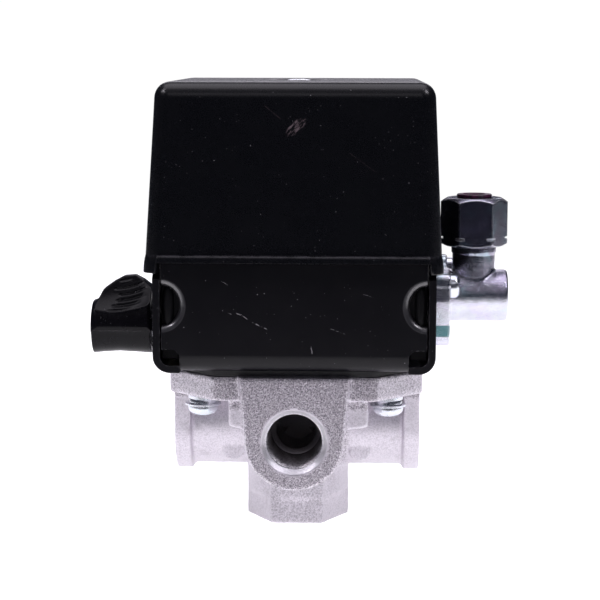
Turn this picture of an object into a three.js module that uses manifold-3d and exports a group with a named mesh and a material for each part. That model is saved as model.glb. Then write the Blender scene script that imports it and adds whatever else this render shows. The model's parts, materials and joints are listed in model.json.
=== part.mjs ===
// Pressure switch for a small air compressor: four-way cast manifold, diaphragm, folded steel
// frame, lever mechanism, four-pole contact block, auto/off knob and unloader valve under a
// moulded cover. Millimetres, +Z up. Origin: centre of the tank port's mouth, on the bottom
// face of the hexagon. The front port points to -Y, the knob to -X, the unloader valve to +X.

import * as THREE from "three";
import { mergeVertices } from "three/addons/utils/BufferGeometryUtils.js";
import Module from "manifold-3d";

// ---------------------------------------------------------------- driving dimensions
const THIN_GAP = 0.04; // clearances that keep neighbouring pieces apart
const GAP = 0.05;

const SHEET = 1.6; // folded steel thickness
const HALF_X = 31.1; // outer half width of the frame
const HALF_Y = 33.4; // outer half depth of the frame
const BASE_Z = 39.5; // underside of the frame
const FLOOR_Z = BASE_Z + SHEET;
const SIDE_TOP = 68; // top edge of the frame's side plates
const FLANGE_TOP = 67; // top edge of the frame's front and rear flanges
const FLAP_X = 29.2; // half width of the front and rear flanges
const NOTCH_X = 25.2; // inner edge of the corner reliefs

const FLANGE_Z0 = 32.6; // manifold flange
const FLANGE_Z1 = 38.15;
const SCREW_X = 21; // manifold screws, in all four quadrants
const SCREW_Y = 20.5;
const MANIFOLD_HOLE_R = 2.3;

const TAPPED_R = 2.06; // clearance around a thread of radius 2
const PIN_HOLE_R = 1.56;
const TRIP_HOLE_R = 1.31;

const KNOB_AXIS_Z = 44.9;
const LEVER_PIVOT = [-24, 47.3]; // x, z of the pressure lever's pin
const LEVER_Z0 = 46.6; // pressure lever's sheet
const LEVER_Z1 = 48;
const TRIP_PIVOT = [0, 54.5]; // x, z of the trip lever's pin
const RANGE_STUD = [17.5, 0]; // x, y
const DIFF_STUD = [17.5, -15.5];
const RANGE_STUD_R = 3;
const EARTH_SCREW = [24.4, 25.6]; // x, y, and mirrored in x

const BRIDGE_TOP = 61.6;
const BLOCK_SCREW_Y = 12;
const BLOCK_FOOT_TOP = 64.6;
const CONTACT_X = -20;
const POLES = [-18, -6, 6, 18]; // y
const TERMINAL_X = -21.5;
const TERMINAL_TOP = 77.05;

const CABLE_X = 14; // cable entries at the rear
const CABLE_Z = 54;

const VALVE_Z = 52.9; // axis of the unloader valve's bore
const VALVE_AXIS = [0, VALVE_Z]; // y, z
const VALVE_PLATE_X = 35.2; // outer face of the valve's plate
const VALVE_END = 49;
const VALVE_SCREWS = [[-8.8, 56.2], [10.5, 57.9]]; // y, z
const NECK_X = 41.1;
const NECK_TOP = 72;

// ---------------------------------------------------------------- solids
const wasm = await Module();
wasm.setup();

function solid(source) {
  const bare = source.index ? source.toNonIndexed() : source.clone();
  bare.deleteAttribute("normal");
  bare.deleteAttribute("uv");
  const merged = mergeVertices(bare, 1e-4);
  return new wasm.Manifold(
    new wasm.Mesh({
      numProp: 3,
      vertProperties: new Float32Array(merged.attributes.position.array),
      triVerts: new Uint32Array(merged.index.array),
    }),
  );
}

function geometryOf(shape) {
  const mesh = shape.getMesh();
  const geometry = new THREE.BufferGeometry();
  const positions = new Float32Array(mesh.vertProperties);
  geometry.setAttribute("position", new THREE.BufferAttribute(positions, 3));
  geometry.setIndex(new THREE.BufferAttribute(new Uint32Array(mesh.triVerts), 1));
  geometry.computeVertexNormals();
  return geometry;
}

const join = (...shapes) => shapes.reduce((whole, shape) => whole.add(shape));
const cut = (body, ...tools) => tools.reduce((rest, tool) => rest.subtract(tool), body);
const mirrorX = (shape) => shape.mirror([1, 0, 0]);
const mirrorY = (shape) => shape.mirror([0, 1, 0]);
const bothX = (shape) => [shape, mirrorX(shape)];
const bothY = (shape) => [shape, mirrorY(shape)];
const fourWays = (shape) => bothX(shape).flatMap(bothY);

// Move a solid drawn along +Z onto an axis along +X or +Y.
const toX = (shape, axisZ) => shape.rotate([0, 90, 0]).translate([0, 0, axisZ]);
const toY = (shape, [x, z] = [0, 0]) => shape.rotate([-90, 0, 0]).translate([x, 0, z]);

const box = ([x0, x1], [y0, y1], [z0, z1]) =>
  solid(
    new THREE.BoxGeometry(x1 - x0, y1 - y0, z1 - z0)
      .translate((x0 + x1) / 2, (y0 + y1) / 2, (z0 + z1) / 2),
  );

// Cylinders and cones: radius at the low end, endRadius at the high end.
const cylinderZ = (radius, [z0, z1], [x, y] = [0, 0], segments = 24, endRadius = radius) =>
  solid(
    new THREE.CylinderGeometry(endRadius, radius, z1 - z0, segments)
      .rotateX(Math.PI / 2)
      .translate(x, y, (z0 + z1) / 2),
  );
const cylinderX = (radius, [x0, x1], [y, z], segments = 24, endRadius = radius) =>
  solid(
    new THREE.CylinderGeometry(endRadius, radius, x1 - x0, segments)
      .rotateZ(-Math.PI / 2)
      .translate((x0 + x1) / 2, y, z),
  );
const cylinderY = (radius, [y0, y1], [x, z], segments = 24, endRadius = radius) =>
  solid(
    new THREE.CylinderGeometry(endRadius, radius, y1 - y0, segments)
      .translate(x, (y0 + y1) / 2, z),
  );

// hexagonal prism with a flat facing -Y
function hexagonZ(acrossFlats, [z0, z1]) {
  const radius = acrossFlats / Math.sqrt(3);
  return solid(
    new THREE.CylinderGeometry(radius, radius, z1 - z0, 6)
      .rotateY(Math.PI / 6)
      .rotateX(Math.PI / 2)
      .translate(0, 0, (z0 + z1) / 2),
  );
}

const hexNut = (acrossFlats, [z0, z1], boreRadius, segments) =>
  cut(
    hexagonZ(acrossFlats, [z0, z1]),
    cylinderZ(boreRadius, [z0 - 1, z1 + 1], [0, 0], segments),
  );

const shapeOf = (outline) => new THREE.Shape(outline.map(([x, y]) => new THREE.Vector2(x, y)));
const extrude = (outline, depth) =>
  new THREE.ExtrudeGeometry(shapeOf(outline), { depth, bevelEnabled: false, curveSegments: 1 });

// Prisms: the outline holds x, y along Z; x, z along Y; y, z along X.
const prismZ = (outline, [z0, z1]) => solid(extrude(outline, z1 - z0).translate(0, 0, z0));
const prismY = (outline, [y0, y1]) =>
  solid(extrude(outline, y1 - y0).rotateX(Math.PI / 2).translate(0, y1, 0));
const XYZ_TO_YZX = new THREE.Matrix4().set(0, 0, 1, 0, 1, 0, 0, 0, 0, 1, 0, 0, 0, 0, 0, 1);
const prismX = (outline, [x0, x1]) =>
  solid(extrude(outline, x1 - x0).applyMatrix4(XYZ_TO_YZX).translate(x0, 0, 0));

// Solid of revolution about Z; the profile of r, z starts and ends on the axis or closes.
// A profile that runs the wrong way round gives negative volume and is reversed.
function lathe(profile, segments = 24) {
  const build = (points) =>
    solid(
      new THREE.LatheGeometry(points.map(([r, z]) => new THREE.Vector2(r, z)), segments)
        .rotateX(Math.PI / 2),
    );
  const shape = build(profile);
  return shape.volume() > 0 ? shape : build([...profile].reverse());
}
const ringLathe = (profile, segments) => lathe([...profile, profile[0]], segments);

// ---------------------------------------------------------------- outlines
const rectangle = ([x0, x1], [y0, y1]) => [[x0, y0], [x1, y0], [x1, y1], [x0, y1]];

// polygon with rounded corners; radii is one number or one per corner, 0 keeps it sharp
function rounded(points, radii, steps = 3) {
  const outline = [];
  const count = points.length;
  for (let i = 0; i < count; i++) {
    const radius = Array.isArray(radii) ? radii[i] : radii;
    const corner = new THREE.Vector2(...points[i]);
    if (!radius) {
      outline.push([corner.x, corner.y]);
      continue;
    }
    const before = new THREE.Vector2(...points[(i + count - 1) % count]).sub(corner).normalize();
    const after = new THREE.Vector2(...points[(i + 1) % count]).sub(corner).normalize();
    const halfAngle = Math.acos(THREE.MathUtils.clamp(before.dot(after), -1, 1)) / 2;
    const setback = radius / Math.tan(halfAngle);
    const bisector = before.clone().add(after).normalize();
    const centre = corner.clone().add(bisector.multiplyScalar(radius / Math.sin(halfAngle)));
    const start = corner.clone().addScaledVector(before, setback).sub(centre);
    const end = corner.clone().addScaledVector(after, setback).sub(centre);
    let sweep = end.angle() - start.angle();
    while (sweep > Math.PI) sweep -= 2 * Math.PI;
    while (sweep < -Math.PI) sweep += 2 * Math.PI;
    for (let k = 0; k <= steps; k++) {
      const point = start.clone().rotateAround(new THREE.Vector2(), (sweep * k) / steps);
      point.add(centre);
      outline.push([point.x, point.y]);
    }
  }
  return outline;
}

// straight sides down to a half round bottom centred on height z
function uOutline({ z, halfTop, radius, top }) {
  const steps = 10;
  const points = [[halfTop, top]];
  for (let k = 0; k <= steps; k++) {
    const angle = -(Math.PI * k) / steps;
    points.push([radius * Math.cos(angle), z + radius * Math.sin(angle)]);
  }
  points.push([-halfTop, top]);
  return points;
}

// rectangle with cut corners: each corner is cut from (x, shoulderY) to (shoulderX, y)
function octagon({ x, y, shoulderX, shoulderY }) {
  const points = [
    [x, -shoulderY], [x, shoulderY], [shoulderX, y], [-shoulderX, y],
    [-x, shoulderY], [-x, -shoulderY], [-shoulderX, -y], [shoulderX, -y],
  ];
  return rounded(points, 2.5, 3);
}

// section of the folded frame: a channel open at the top
function channel({ half, top, outerR, innerR, steps }) {
  const inner = half - SHEET;
  const points = [
    [-half, top], [-half, BASE_Z], [half, BASE_Z], [half, top],
    [inner, top], [inner, FLOOR_Z], [-inner, FLOOR_Z], [-inner, top],
  ];
  return rounded(points, [0, outerR, outerR, 0, 0, innerR, innerR, 0], steps);
}

// ---------------------------------------------------------------- springs and screws
// helix along +Z with closed end coils
class Coil extends THREE.Curve {
  constructor(radius, wire, [z0, z1], turns) {
    super();
    Object.assign(this, { radius, wire, z0, z1, turns });
  }
  getPoint(fraction, target = new THREE.Vector3()) {
    const turn = fraction * this.turns;
    const low = this.z0 + this.wire / 2 + 0.02;
    const high = this.z1 - this.wire / 2 - 0.02;
    const closedPitch = this.wire * 1.04;
    const openPitch = (high - low - 2 * closedPitch) / (this.turns - 2);
    let z = low + closedPitch + openPitch * (turn - 1);
    if (turn < 1) z = low + closedPitch * turn;
    else if (turn > this.turns - 1) z = high - closedPitch * (this.turns - turn);
    const angle = turn * 2 * Math.PI;
    return target.set(this.radius * Math.cos(angle), this.radius * Math.sin(angle), z);
  }
}

// compression spring; wire is the wire's diameter, sides the corners of its section
function spring({ radius, wire, z, turns, perTurn, sides }) {
  const section = [];
  for (let k = 0; k < sides; k++) {
    const angle = (2 * Math.PI * (k + 0.5)) / sides;
    section.push([(wire / 2) * Math.cos(angle), (wire / 2) * Math.sin(angle)]);
  }
  const shape = solid(
    new THREE.ExtrudeGeometry(shapeOf(section), {
      steps: Math.round(turns * perTurn),
      bevelEnabled: false,
      extrudePath: new Coil(radius, wire, z, turns),
    }),
  );
  // a sweep with negative volume is mirrored
  return shape.volume() > 0 ? shape : mirrorY(shape);
}

// slotted pan head screw pointing down: head on top of z = 0, shank below
function panScrew({ shankR, length, headR, headH, segments = 14 }) {
  const profile = [
    [0, -length], [shankR, -length], [shankR, 0],
    [headR, 0], [headR, headH * 0.6], [headR * 0.7, headH], [0, headH],
  ];
  const slotX = headR * 0.6;
  const slotY = headR * 0.16;
  const slot = box([-slotX, slotX], [-slotY, slotY], [headH * 0.45, headH + 1]);
  return cut(lathe(profile, segments), slot);
}

// ---------------------------------------------------------------- group and materials
const object = new THREE.Group();
object.name = "pressure_switch";

const FINISHES = {
  cast: { color: 0xb9b8bd, roughness: 0.45, metalness: 0.9 },
  black_steel: { color: 0x141416, roughness: 0.42, metalness: 0.3 },
  black_plastic: { color: 0x111113, roughness: 0.38, metalness: 0 },
  dark_plastic: { color: 0x0b0b0c, roughness: 0.5, metalness: 0 },
  phenolic: { color: 0x1a1512, roughness: 0.5, metalness: 0 },
  rubber: { color: 0x161616, roughness: 0.8, metalness: 0 },
  zinc: { color: 0xc9ced4, roughness: 0.28, metalness: 1 },
  yellow_zinc: { color: 0xc2ab6a, roughness: 0.32, metalness: 1 },
  brass: { color: 0xc2a35a, roughness: 0.3, metalness: 1 },
  silver: { color: 0xd9d6cf, roughness: 0.25, metalness: 1 },
  spring_steel: { color: 0x8d9094, roughness: 0.3, metalness: 1 },
  green: { color: 0x2c7a45, roughness: 0.4, metalness: 0.5 },
  carrier: { color: 0xd8d2c0, roughness: 0.55, metalness: 0 },
};

// shape is a solid, or a geometry that several meshes share
function add(name, shape, finish, position = [0, 0, 0], rotation = [0, 0, 0]) {
  const mesh = new THREE.Mesh(
    shape.isBufferGeometry ? shape : geometryOf(shape),
    new THREE.MeshStandardMaterial(FINISHES[finish]),
  );
  mesh.name = name;
  mesh.position.set(...position);
  mesh.rotation.set(...rotation);
  object.add(mesh);
}

// ---------------------------------------------------------------- manifold and diaphragm
const PORT_R = 6.5; // 1/4 inch pipe thread, major radius at the mouth
const PORT_R_IN = 6;
const MOUTH_R = 7.35;
const PASSAGE_R = 4.5;
const FRONT_AXIS_Z = 23.6;
const SIDE_AXIS_Z = 22.5;
const FRONT_FACE_Y = -31;
const SIDE_FACE_X = 28.5;
const HEX_AF = 20.8; // across flats

// Countersunk mouth and tapered bore of a port that opens at face, towards the low end.
const port = (cylinder, face, end, centre) =>
  join(
    cylinder(MOUTH_R + 0.2, [face - 0.3, face + 1.2], centre, 24, PORT_R),
    cylinder(PORT_R, [face + 1.1, end], centre, 24, PORT_R_IN),
  );

function manifoldBody() {
  const ribTop = FLANGE_Z0 + 0.5;
  const collar = uOutline({ z: SIDE_AXIS_Z, halfTop: 11.4, radius: 11.2, top: ribTop });
  const frontArm = uOutline({ z: FRONT_AXIS_Z, halfTop: 12.3, radius: 11, top: FLANGE_Z1 });
  const rearArm = uOutline({
    z: FRONT_AXIS_Z,
    halfTop: 10.6,
    radius: 9.6,
    top: FLANGE_Z0 + 1,
  });
  return join(
    prismZ(octagon({ x: 28.8, y: 29.6, shoulderX: 18.2, shoulderY: 18.4 }), [FLANGE_Z0, FLANGE_Z1]),
    cylinderZ(11.3, [10, FLANGE_Z0 + 1], [0, 0], 28),
    prismY(frontArm, [FRONT_FACE_Y, 1]),
    prismY(rearArm, [-1, 15]),
    cylinderX(10, [-25.5, 25.5], [0, SIDE_AXIS_Z], 28),
    prismX(collar, [-SIDE_FACE_X, -24.7]),
    prismX(collar, [24.7, SIDE_FACE_X]),
    hexagonZ(HEX_AF, [0, 16]),
    // ribs beside the front port, at the rear and under the flange
    box([-14.9, -11], [-26.5, -9], [25.2, ribTop]),
    box([11, 16.4], [-26.5, -9], [25.2, ribTop]),
    ...bothX(box([10, 14.9], [9, 24], [26, ribTop])),
    prismX([[14, 18], [28, ribTop], [14, ribTop]], [-1.6, 1.6]),
  );
}

function manifold() {
  const frontEnd = -17; // inner ends of the threaded bores
  const sideEnd = -14.5;
  const tankEnd = 13;
  const frontAxis = [0, FRONT_AXIS_Z];
  const sideAxis = [0, SIDE_AXIS_Z];
  const screwHole = cylinderZ(
    MANIFOLD_HOLE_R,
    [FLANGE_Z0 - 1, FLANGE_Z1 + 1],
    [SCREW_X, SCREW_Y],
    12,
  );
  return cut(
    manifoldBody(),
    port(cylinderY, FRONT_FACE_Y, frontEnd, frontAxis),
    cylinderY(PASSAGE_R, [frontEnd - 0.1, 0], frontAxis, 16),
    ...bothX(port(cylinderX, -SIDE_FACE_X, sideEnd, sideAxis)),
    cylinderX(PASSAGE_R, [sideEnd - 0.1, 0.1 - sideEnd], sideAxis, 16),
    port(cylinderZ, 0, tankEnd, [0, 0]),
    cylinderZ(PASSAGE_R, [tankEnd - 0.1, 36], [0, 0], 16),
    // pressure chamber under the diaphragm
    cylinderZ(12.2, [35.2, FLANGE_Z1 + 1], [0, 0], 28),
    ...fourWays(screwHole),
  );
}
add("manifold", manifold(), "cast");

function diaphragm() {
  const outline = octagon({ x: 28.5, y: 29.3, shoulderX: 18, shoulderY: 18.3 });
  return cut(
    prismZ(outline, [FLANGE_Z1 + THIN_GAP, BASE_Z - THIN_GAP]),
    ...fourWays(cylinderZ(MANIFOLD_HOLE_R, [37, 41], [SCREW_X, SCREW_Y], 12)),
  );
}
add("diaphragm", diaphragm(), "rubber");

// r, z
const PISTON_PROFILE = [
  [0, 39.51], [11.8, 39.51], [11.8, 41.3], [11.4, 41.6],
  [4.0, 41.6], [4.0, 45.8], [2.4, 46.4], [0, 46.5],
];
add("diaphragm_piston", lathe(PISTON_PROFILE), "yellow_zinc");

// ---------------------------------------------------------------- folded steel frame
const THROUGH_FLOOR = [BASE_Z - 1, FLOOR_Z + 1];

// left and right plates with the floor between them
function sideWalls() {
  const section = channel({ half: HALF_X, top: SIDE_TOP, outerR: 2.8, innerR: 1.2, steps: 3 });
  // upper corners, slanted so that the cover slips over them
  const slantedCorner = prismX(
    [
      [-HALF_Y - 2, 60.3], [-HALF_Y, 60.3], [-31.8, 61.6],
      [-31.2, 69], [-HALF_Y - 2, 69],
    ],
    [-HALF_X - 1, HALF_X + 1],
  );
  // room in the floor for the bends of the front and rear flanges
  const bendGap = box([-NOTCH_X, NOTCH_X], [-HALF_Y - 1, -HALF_Y + 4], THROUGH_FLOOR);
  return cut(
    prismY(section, [-HALF_Y, HALF_Y]),
    ...bothY(slantedCorner),
    ...bothY(bendGap),
  );
}

// front and rear flanges
function flanges() {
  const section = channel({ half: HALF_Y, top: FLANGE_TOP, outerR: 4, innerR: 2.4, steps: 5 });
  const reliefTop = 44.7;
  const outerX = FLAP_X + 0.2;
  const relief = prismY(
    [
      [NOTCH_X, BASE_Z - 1], [outerX, BASE_Z - 1], [outerX, reliefTop],
      [NOTCH_X + 1.2, reliefTop], [NOTCH_X, 43.5],
    ],
    [HALF_Y - 4, HALF_Y + 1],
  );
  // half oval notch in each upright edge
  const edgeNotch = solid(
    new THREE.CylinderGeometry(1, 1, 6, 20)
      .scale(4.0, 1, 5.15)
      .translate(FLAP_X, HALF_Y - 1, 53.75),
  );
  return cut(
    prismX(section, [-FLAP_X, FLAP_X]),
    ...fourWays(relief),
    ...fourWays(edgeNotch),
  );
}

function frame() {
  const throughLeft = [-HALF_X - 1, -HALF_X + 3];
  const throughRight = [HALF_X - 3, HALF_X + 1];
  // upright ear for the pressure lever's pin
  const ear = cut(
    prismY(
      rounded(rectangle([-27.2, -20.8], [FLOOR_Z - 0.6, 49.9]), [0, 0, 2.4, 2.4]),
      [12.2, 13.8],
    ),
    cylinderY(PIN_HOLE_R, [11, 15], LEVER_PIVOT, 16),
  );
  return cut(
    join(sideWalls(), flanges(), ...bothY(ear)),
    cylinderZ(12.5, THROUGH_FLOOR, [0, 0], 28),
    ...fourWays(cylinderZ(TAPPED_R, THROUGH_FLOOR, [SCREW_X, SCREW_Y], 16)),
    cylinderZ(RANGE_STUD_R + 0.06, THROUGH_FLOOR, RANGE_STUD),
    cylinderZ(TAPPED_R, THROUGH_FLOOR, DIFF_STUD, 20),
    ...bothX(cylinderZ(TAPPED_R, THROUGH_FLOOR, EARTH_SCREW, 20)),
    // knob shaft, unloader pin and unloader screws
    cylinderX(3.15, throughLeft, [0, KNOB_AXIS_Z], 20),
    cylinderX(2.2, throughRight, VALVE_AXIS, 20),
    ...VALVE_SCREWS.map((place) => cylinderX(1.56, throughRight, place, 16)),
    // cable entries
    ...bothX(cylinderY(7.6, [HALF_Y - 3, HALF_Y + 1], [CABLE_X, CABLE_Z], 20)),
  );
}
add("frame", frame(), "black_steel");

// ---- screws from below: head under the manifold flange, thread in the frame
const manifoldScrew = geometryOf(panScrew({ shankR: 2, length: 10.4, headR: 3.4, headH: 2.9 }));
[
  [-SCREW_X, -SCREW_Y],
  [SCREW_X, -SCREW_Y],
  [-SCREW_X, SCREW_Y],
  [SCREW_X, SCREW_Y],
].forEach((place, k) => {
  const position = [...place, FLANGE_Z0 - 0.02];
  add(`manifold_screw_${k + 1}`, manifoldScrew, "zinc", position, [Math.PI, 0, 0]);
});

// ---- plastic corner pieces inside the frame's front corners
function cornerInsulator() {
  const angle = (innerX, heights) =>
    prismZ(
      [[innerX, -31.7], [29.2, -31.7], [29.2, -24], [27.8, -24], [27.8, -30.3], [innerX, -30.3]],
      heights,
    );
  return join(angle(25.4, [42.4, 45]), angle(23.9, [44.2, 63.5]));
}
add("corner_insulator_right", cornerInsulator(), "dark_plastic");
add("corner_insulator_left", mirrorX(cornerInsulator()), "dark_plastic");

// ---- rubber grommets in the two cable entries at the rear; profile of r, y
const GROMMET_PROFILE = [
  [5.0, 30.2], [9.2, 30.2], [9.2, 31.75], [7.45, 31.75],
  [7.45, 33.45], [9.3, 33.5], [8.9, 34.8], [5.0, 34.8],
];
const grommet = geometryOf(toY(ringLathe(GROMMET_PROFILE, 20)));
add("cable_grommet_1", grommet, "rubber", [-CABLE_X, 0, CABLE_Z]);
add("cable_grommet_2", grommet, "rubber", [CABLE_X, 0, CABLE_Z]);

// ---------------------------------------------------------------- bridge and cover post
// arch over the levers
function bridge() {
  const footX = 23;
  const outerX = 16.6;
  const innerX = outerX - SHEET;
  const footZ0 = FLOOR_Z + THIN_GAP;
  const footZ1 = FLOOR_Z + SHEET + THIN_GAP;
  const arch = [
    [footX, footZ0], [footX, footZ1], [outerX, footZ1], [outerX, BRIDGE_TOP],
    [-outerX, BRIDGE_TOP], [-outerX, footZ1], [-footX, footZ1], [-footX, footZ0],
    [-innerX, footZ0], [-innerX, BRIDGE_TOP - SHEET], [innerX, BRIDGE_TOP - SHEET],
    [innerX, footZ0],
  ];
  // The section is drawn in x, z but extruded along X, so the arch spans in Y.
  return cut(
    prismX(rounded(arch, [0, 0, 1, 2.2, 2.2, 1, 0, 0, 0, 0.6, 0.6, 0], 3), [-5.5, 5.5]),
    cylinderY(TRIP_HOLE_R, [-18, 18], TRIP_PIVOT, 16),
    cylinderZ(2.1, [59, 63], [0, 0], 20),
    ...bothY(cylinderZ(1.56, [59, 63], [0, BLOCK_SCREW_Y], 16)),
  );
}
add("bridge", bridge(), "zinc");

// hexagonal post with a stub in the bridge and a blind hole for the cover screw
const coverPost = cut(
  join(hexagonZ(7, [BRIDGE_TOP + GAP, 99.3]), cylinderZ(2, [59.9, 62], [0, 0], 20)),
  cylinderZ(TAPPED_R, [86, 100], [0, 0], 20),
);
add("cover_post", coverPost, "zinc");

// ---------------------------------------------------------------- contact block
function contactBlock() {
  const backX = -27.5;
  const foot = box([-7.5, 4.6], [9.2, 15.2], [BRIDGE_TOP + GAP, BLOCK_FOOT_TOP]);
  // walls between the poles: y, half thickness
  const partitions = [[-25.9, 1.1], [-12, 0.9], [0, 0.9], [12, 0.9], [25.9, 1.1]];
  const partitionOutline = rounded(rectangle([backX, -8.5], [75, 84.6]), [0, 0, 2.5, 2.5]);
  return cut(
    join(
      box([backX, -7], [-27, 27], [62, 76]),
      ...bothY(foot),
      ...partitions.map(([y, half]) => prismY(partitionOutline, [y - half, y + half])),
    ),
    ...POLES.map((y) => cylinderZ(2.05, [67, 77], [TERMINAL_X, y], 16)),
    cylinderZ(1.72, [61, 71], [CONTACT_X, 0], 20),
    ...bothY(cylinderZ(1.7, [61, 66], [0, BLOCK_SCREW_Y], 16)),
    // lightening pockets in the face towards the post
    ...bothY(box([-12, -6], [18, 24], [64, 73])),
    box([-12, -6], [-6, 6], [66, 73]),
  );
}
add("contact_block", contactBlock(), "phenolic");

const blockScrew = geometryOf(
  panScrew({ shankR: 1.46, length: 6.2, headR: 2.7, headH: 2, segments: 12 }),
);
add("block_screw_1", blockScrew, "zinc", [0, -BLOCK_SCREW_Y, BLOCK_FOOT_TOP + GAP]);
add("block_screw_2", blockScrew, "zinc", [0, BLOCK_SCREW_Y, BLOCK_FOOT_TOP + GAP]);

// ---- fixed terminals: a strip folded round the block, with a contact button below
function terminal() {
  // x, z
  const strip = [
    [-28.6, TERMINAL_TOP], [-28.6, 60.95], [-17.8, 60.95], [-17.8, 61.95],
    [-27.6, 61.95], [-27.6, 76.05], [-15.2, 76.05], [-15.2, TERMINAL_TOP],
  ];
  return cut(
    join(
      prismY(rounded(strip, [0.8, 0.8, 0, 0, 0, 0, 0, 0], 2), [-4, 4]),
      cylinderZ(1.7, [60.15, 61.4], [CONTACT_X, 0], 16),
    ),
    cylinderZ(2.2, [75, 78], [TERMINAL_X, 0], 16),
  );
}
const terminalStrip = geometryOf(terminal());
const terminalScrew = geometryOf(panScrew({ shankR: 1.95, length: 9, headR: 3.7, headH: 2.7 }));
POLES.forEach((y, k) => {
  const screwPosition = [TERMINAL_X, y, TERMINAL_TOP + GAP];
  add(`terminal_${k + 1}`, terminalStrip, "brass", [0, y, 0]);
  add(`terminal_screw_${k + 1}`, terminalScrew, "zinc", screwPosition);
});

// ---- moving contacts on their carrier
const BAR_Y = 12; // centre of each contact bar, and mirrored

function contactCarrier() {
  return cut(
    join(
      box([-23, -17], [-22, 22], [53, 57]),
      box([-17.5, -13.4], [-4.5, 4.5], [51.2, 58]),
      // posts for the two contact springs, and the guide in the block
      ...bothY(cylinderZ(1.4, [56, 60.6], [CONTACT_X, BAR_Y], 16)),
      cylinderZ(1.6, [56, 69], [CONTACT_X, 0], 20),
    ),
    // slot for the trip lever's arm
    box([-16.9, -13], [-5, 5], [53.3, 55.7]),
  );
}
add("contact_carrier", contactCarrier(), "carrier");

function contactBar() {
  return cut(
    join(
      box([CONTACT_X - 2, CONTACT_X + 2], [-9, 9], [58.3, 59.3]),
      ...bothY(cylinderZ(1.6, [59, 60.1], [CONTACT_X, 6], 16)),
    ),
    cylinderZ(1.6, [57, 61], [CONTACT_X, 0], 16),
  );
}
const bar = geometryOf(contactBar());
add("moving_contact_1", bar, "silver", [0, -BAR_Y, 0]);
add("moving_contact_2", bar, "silver", [0, BAR_Y, 0]);

const contactSpring = geometryOf(
  spring({ radius: 2.1, wire: 0.28, z: [57.02, 58.28], turns: 2.5, perTurn: 12, sides: 4 }),
);
add("contact_spring_1", contactSpring, "spring_steel", [CONTACT_X, -BAR_Y, 0]);
add("contact_spring_2", contactSpring, "spring_steel", [CONTACT_X, BAR_Y, 0]);

// ---------------------------------------------------------------- levers
function pressureLever() {
  // x, y
  const sheet = [
    [-21.4, -10.9], [8, -10.9], [11, -20.3], [25, -20.3], [25.4, 10.9],
    [-21.4, 10.9], [-21.4, 6], [-12, 6], [-12, -6], [-21.4, -6],
  ];
  // upturned end towards the unloader pin: x, z
  const tab = [
    [23.5, LEVER_Z0], [28.4, LEVER_Z0], [28.4, LEVER_Z1], [26.2, 54.8],
    [24.7, 54.8], [26.7, LEVER_Z1], [23.5, LEVER_Z1],
  ];
  const ear = prismY(
    rounded(rectangle([-26.6, -19.5], [45, 49.7]), [2, 0, 2, 2], 3),
    [9.3, 10.9],
  );
  return cut(
    join(
      prismZ(rounded(sheet, [0, 1.5, 2, 2, 2, 0, 0, 2, 2, 0], 3), [LEVER_Z0, LEVER_Z1]),
      ...bothY(ear),
      prismY(tab, [-4, 4]),
    ),
    cylinderY(PIN_HOLE_R, [-12, 12], LEVER_PIVOT, 16),
    cylinderZ(4.2, [45, 49], RANGE_STUD),
    cylinderZ(2.9, [45, 49], DIFF_STUD, 20),
  );
}
add("pressure_lever", pressureLever(), "zinc");

// riveted pins: head outside the frame's ear, peened end inside the lever's ear; r, y
const LEVER_PIN_PROFILE = [
  [0, 8.3], [1.7, 8.3], [2.2, 8.6], [2.2, 9.2], [1.5, 9.2],
  [1.5, 13.9], [2.6, 13.9], [2.3, 14.8], [0, 15.1],
];
const leverPin = toY(lathe(LEVER_PIN_PROFILE, 16), LEVER_PIVOT);
add("lever_pin_1", mirrorY(leverPin), "zinc");
add("lever_pin_2", leverPin, "zinc");

// Its forked end rests over the pressure lever, its other end works the carrier.
function tripLever() {
  // x, z
  const fork = [
    [-3.2, 57.2], [-3.2, 52.6], [2.2, 51.4], [10.6, 48.2],
    [13.2, 48.2], [13.4, 50.4], [3.2, 57.2],
  ];
  const side = prismY(rounded(fork, [2, 1, 1, 0.8, 0.8, 0.8, 2], 3), [9, 10.6]);
  const arm = box([-16.3, -1.6], [-3.6, 3.6], [53.7, 55.3]);
  const web = box([-3.2, -1.6], [-10, 10], [53.2, 56.6]);
  return cut(
    join(...bothY(side), arm, web),
    cylinderY(TRIP_HOLE_R, [-12, 12], TRIP_PIVOT, 16),
  );
}
add("trip_lever", tripLever(), "yellow_zinc");

// r, y
const TRIP_PIN_PROFILE = [
  [0, -18.2], [2.0, -18.2], [2.0, -16.9], [1.25, -16.9], [1.25, 18.0], [0, 18.0],
];
add("trip_pin", toY(lathe(TRIP_PIN_PROFILE, 16), TRIP_PIVOT), "zinc");

// ---------------------------------------------------------------- adjusters
const RANGE_SEAT_TOP = 69.6;
const DIFF_SEAT_TOP = 62.2;

// stud with a chamfered top, standing in the frame's floor
function stud(radius, top) {
  const foot = BASE_Z + 0.02;
  const profile = [
    [0, foot], [radius, foot], [radius, top - radius * 0.35], [radius * 0.7, top], [0, top],
  ];
  return lathe(profile);
}

const rangeSpring = spring({
  radius: 5.5,
  wire: 1.9,
  z: [LEVER_Z1 + GAP, 68],
  turns: 6.5,
  perTurn: 9,
  sides: 5,
});
// r, z
const RANGE_SEAT_PROFILE = [
  [3.3, 66.6], [4.1, 66.6], [4.1, 68.02],
  [7.1, 68.02], [7.1, RANGE_SEAT_TOP], [3.3, RANGE_SEAT_TOP],
];
const rangeNut = hexNut(10, [RANGE_SEAT_TOP + GAP, 75.2], 3.1, 24);
const rangePosition = [...RANGE_STUD, 0];
add("range_stud", stud(RANGE_STUD_R, 82), "zinc", rangePosition);
add("range_spring", rangeSpring, "spring_steel", rangePosition);
add("range_seat", ringLathe(RANGE_SEAT_PROFILE, 20), "zinc", rangePosition);
add("range_nut", rangeNut, "zinc", rangePosition);

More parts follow.
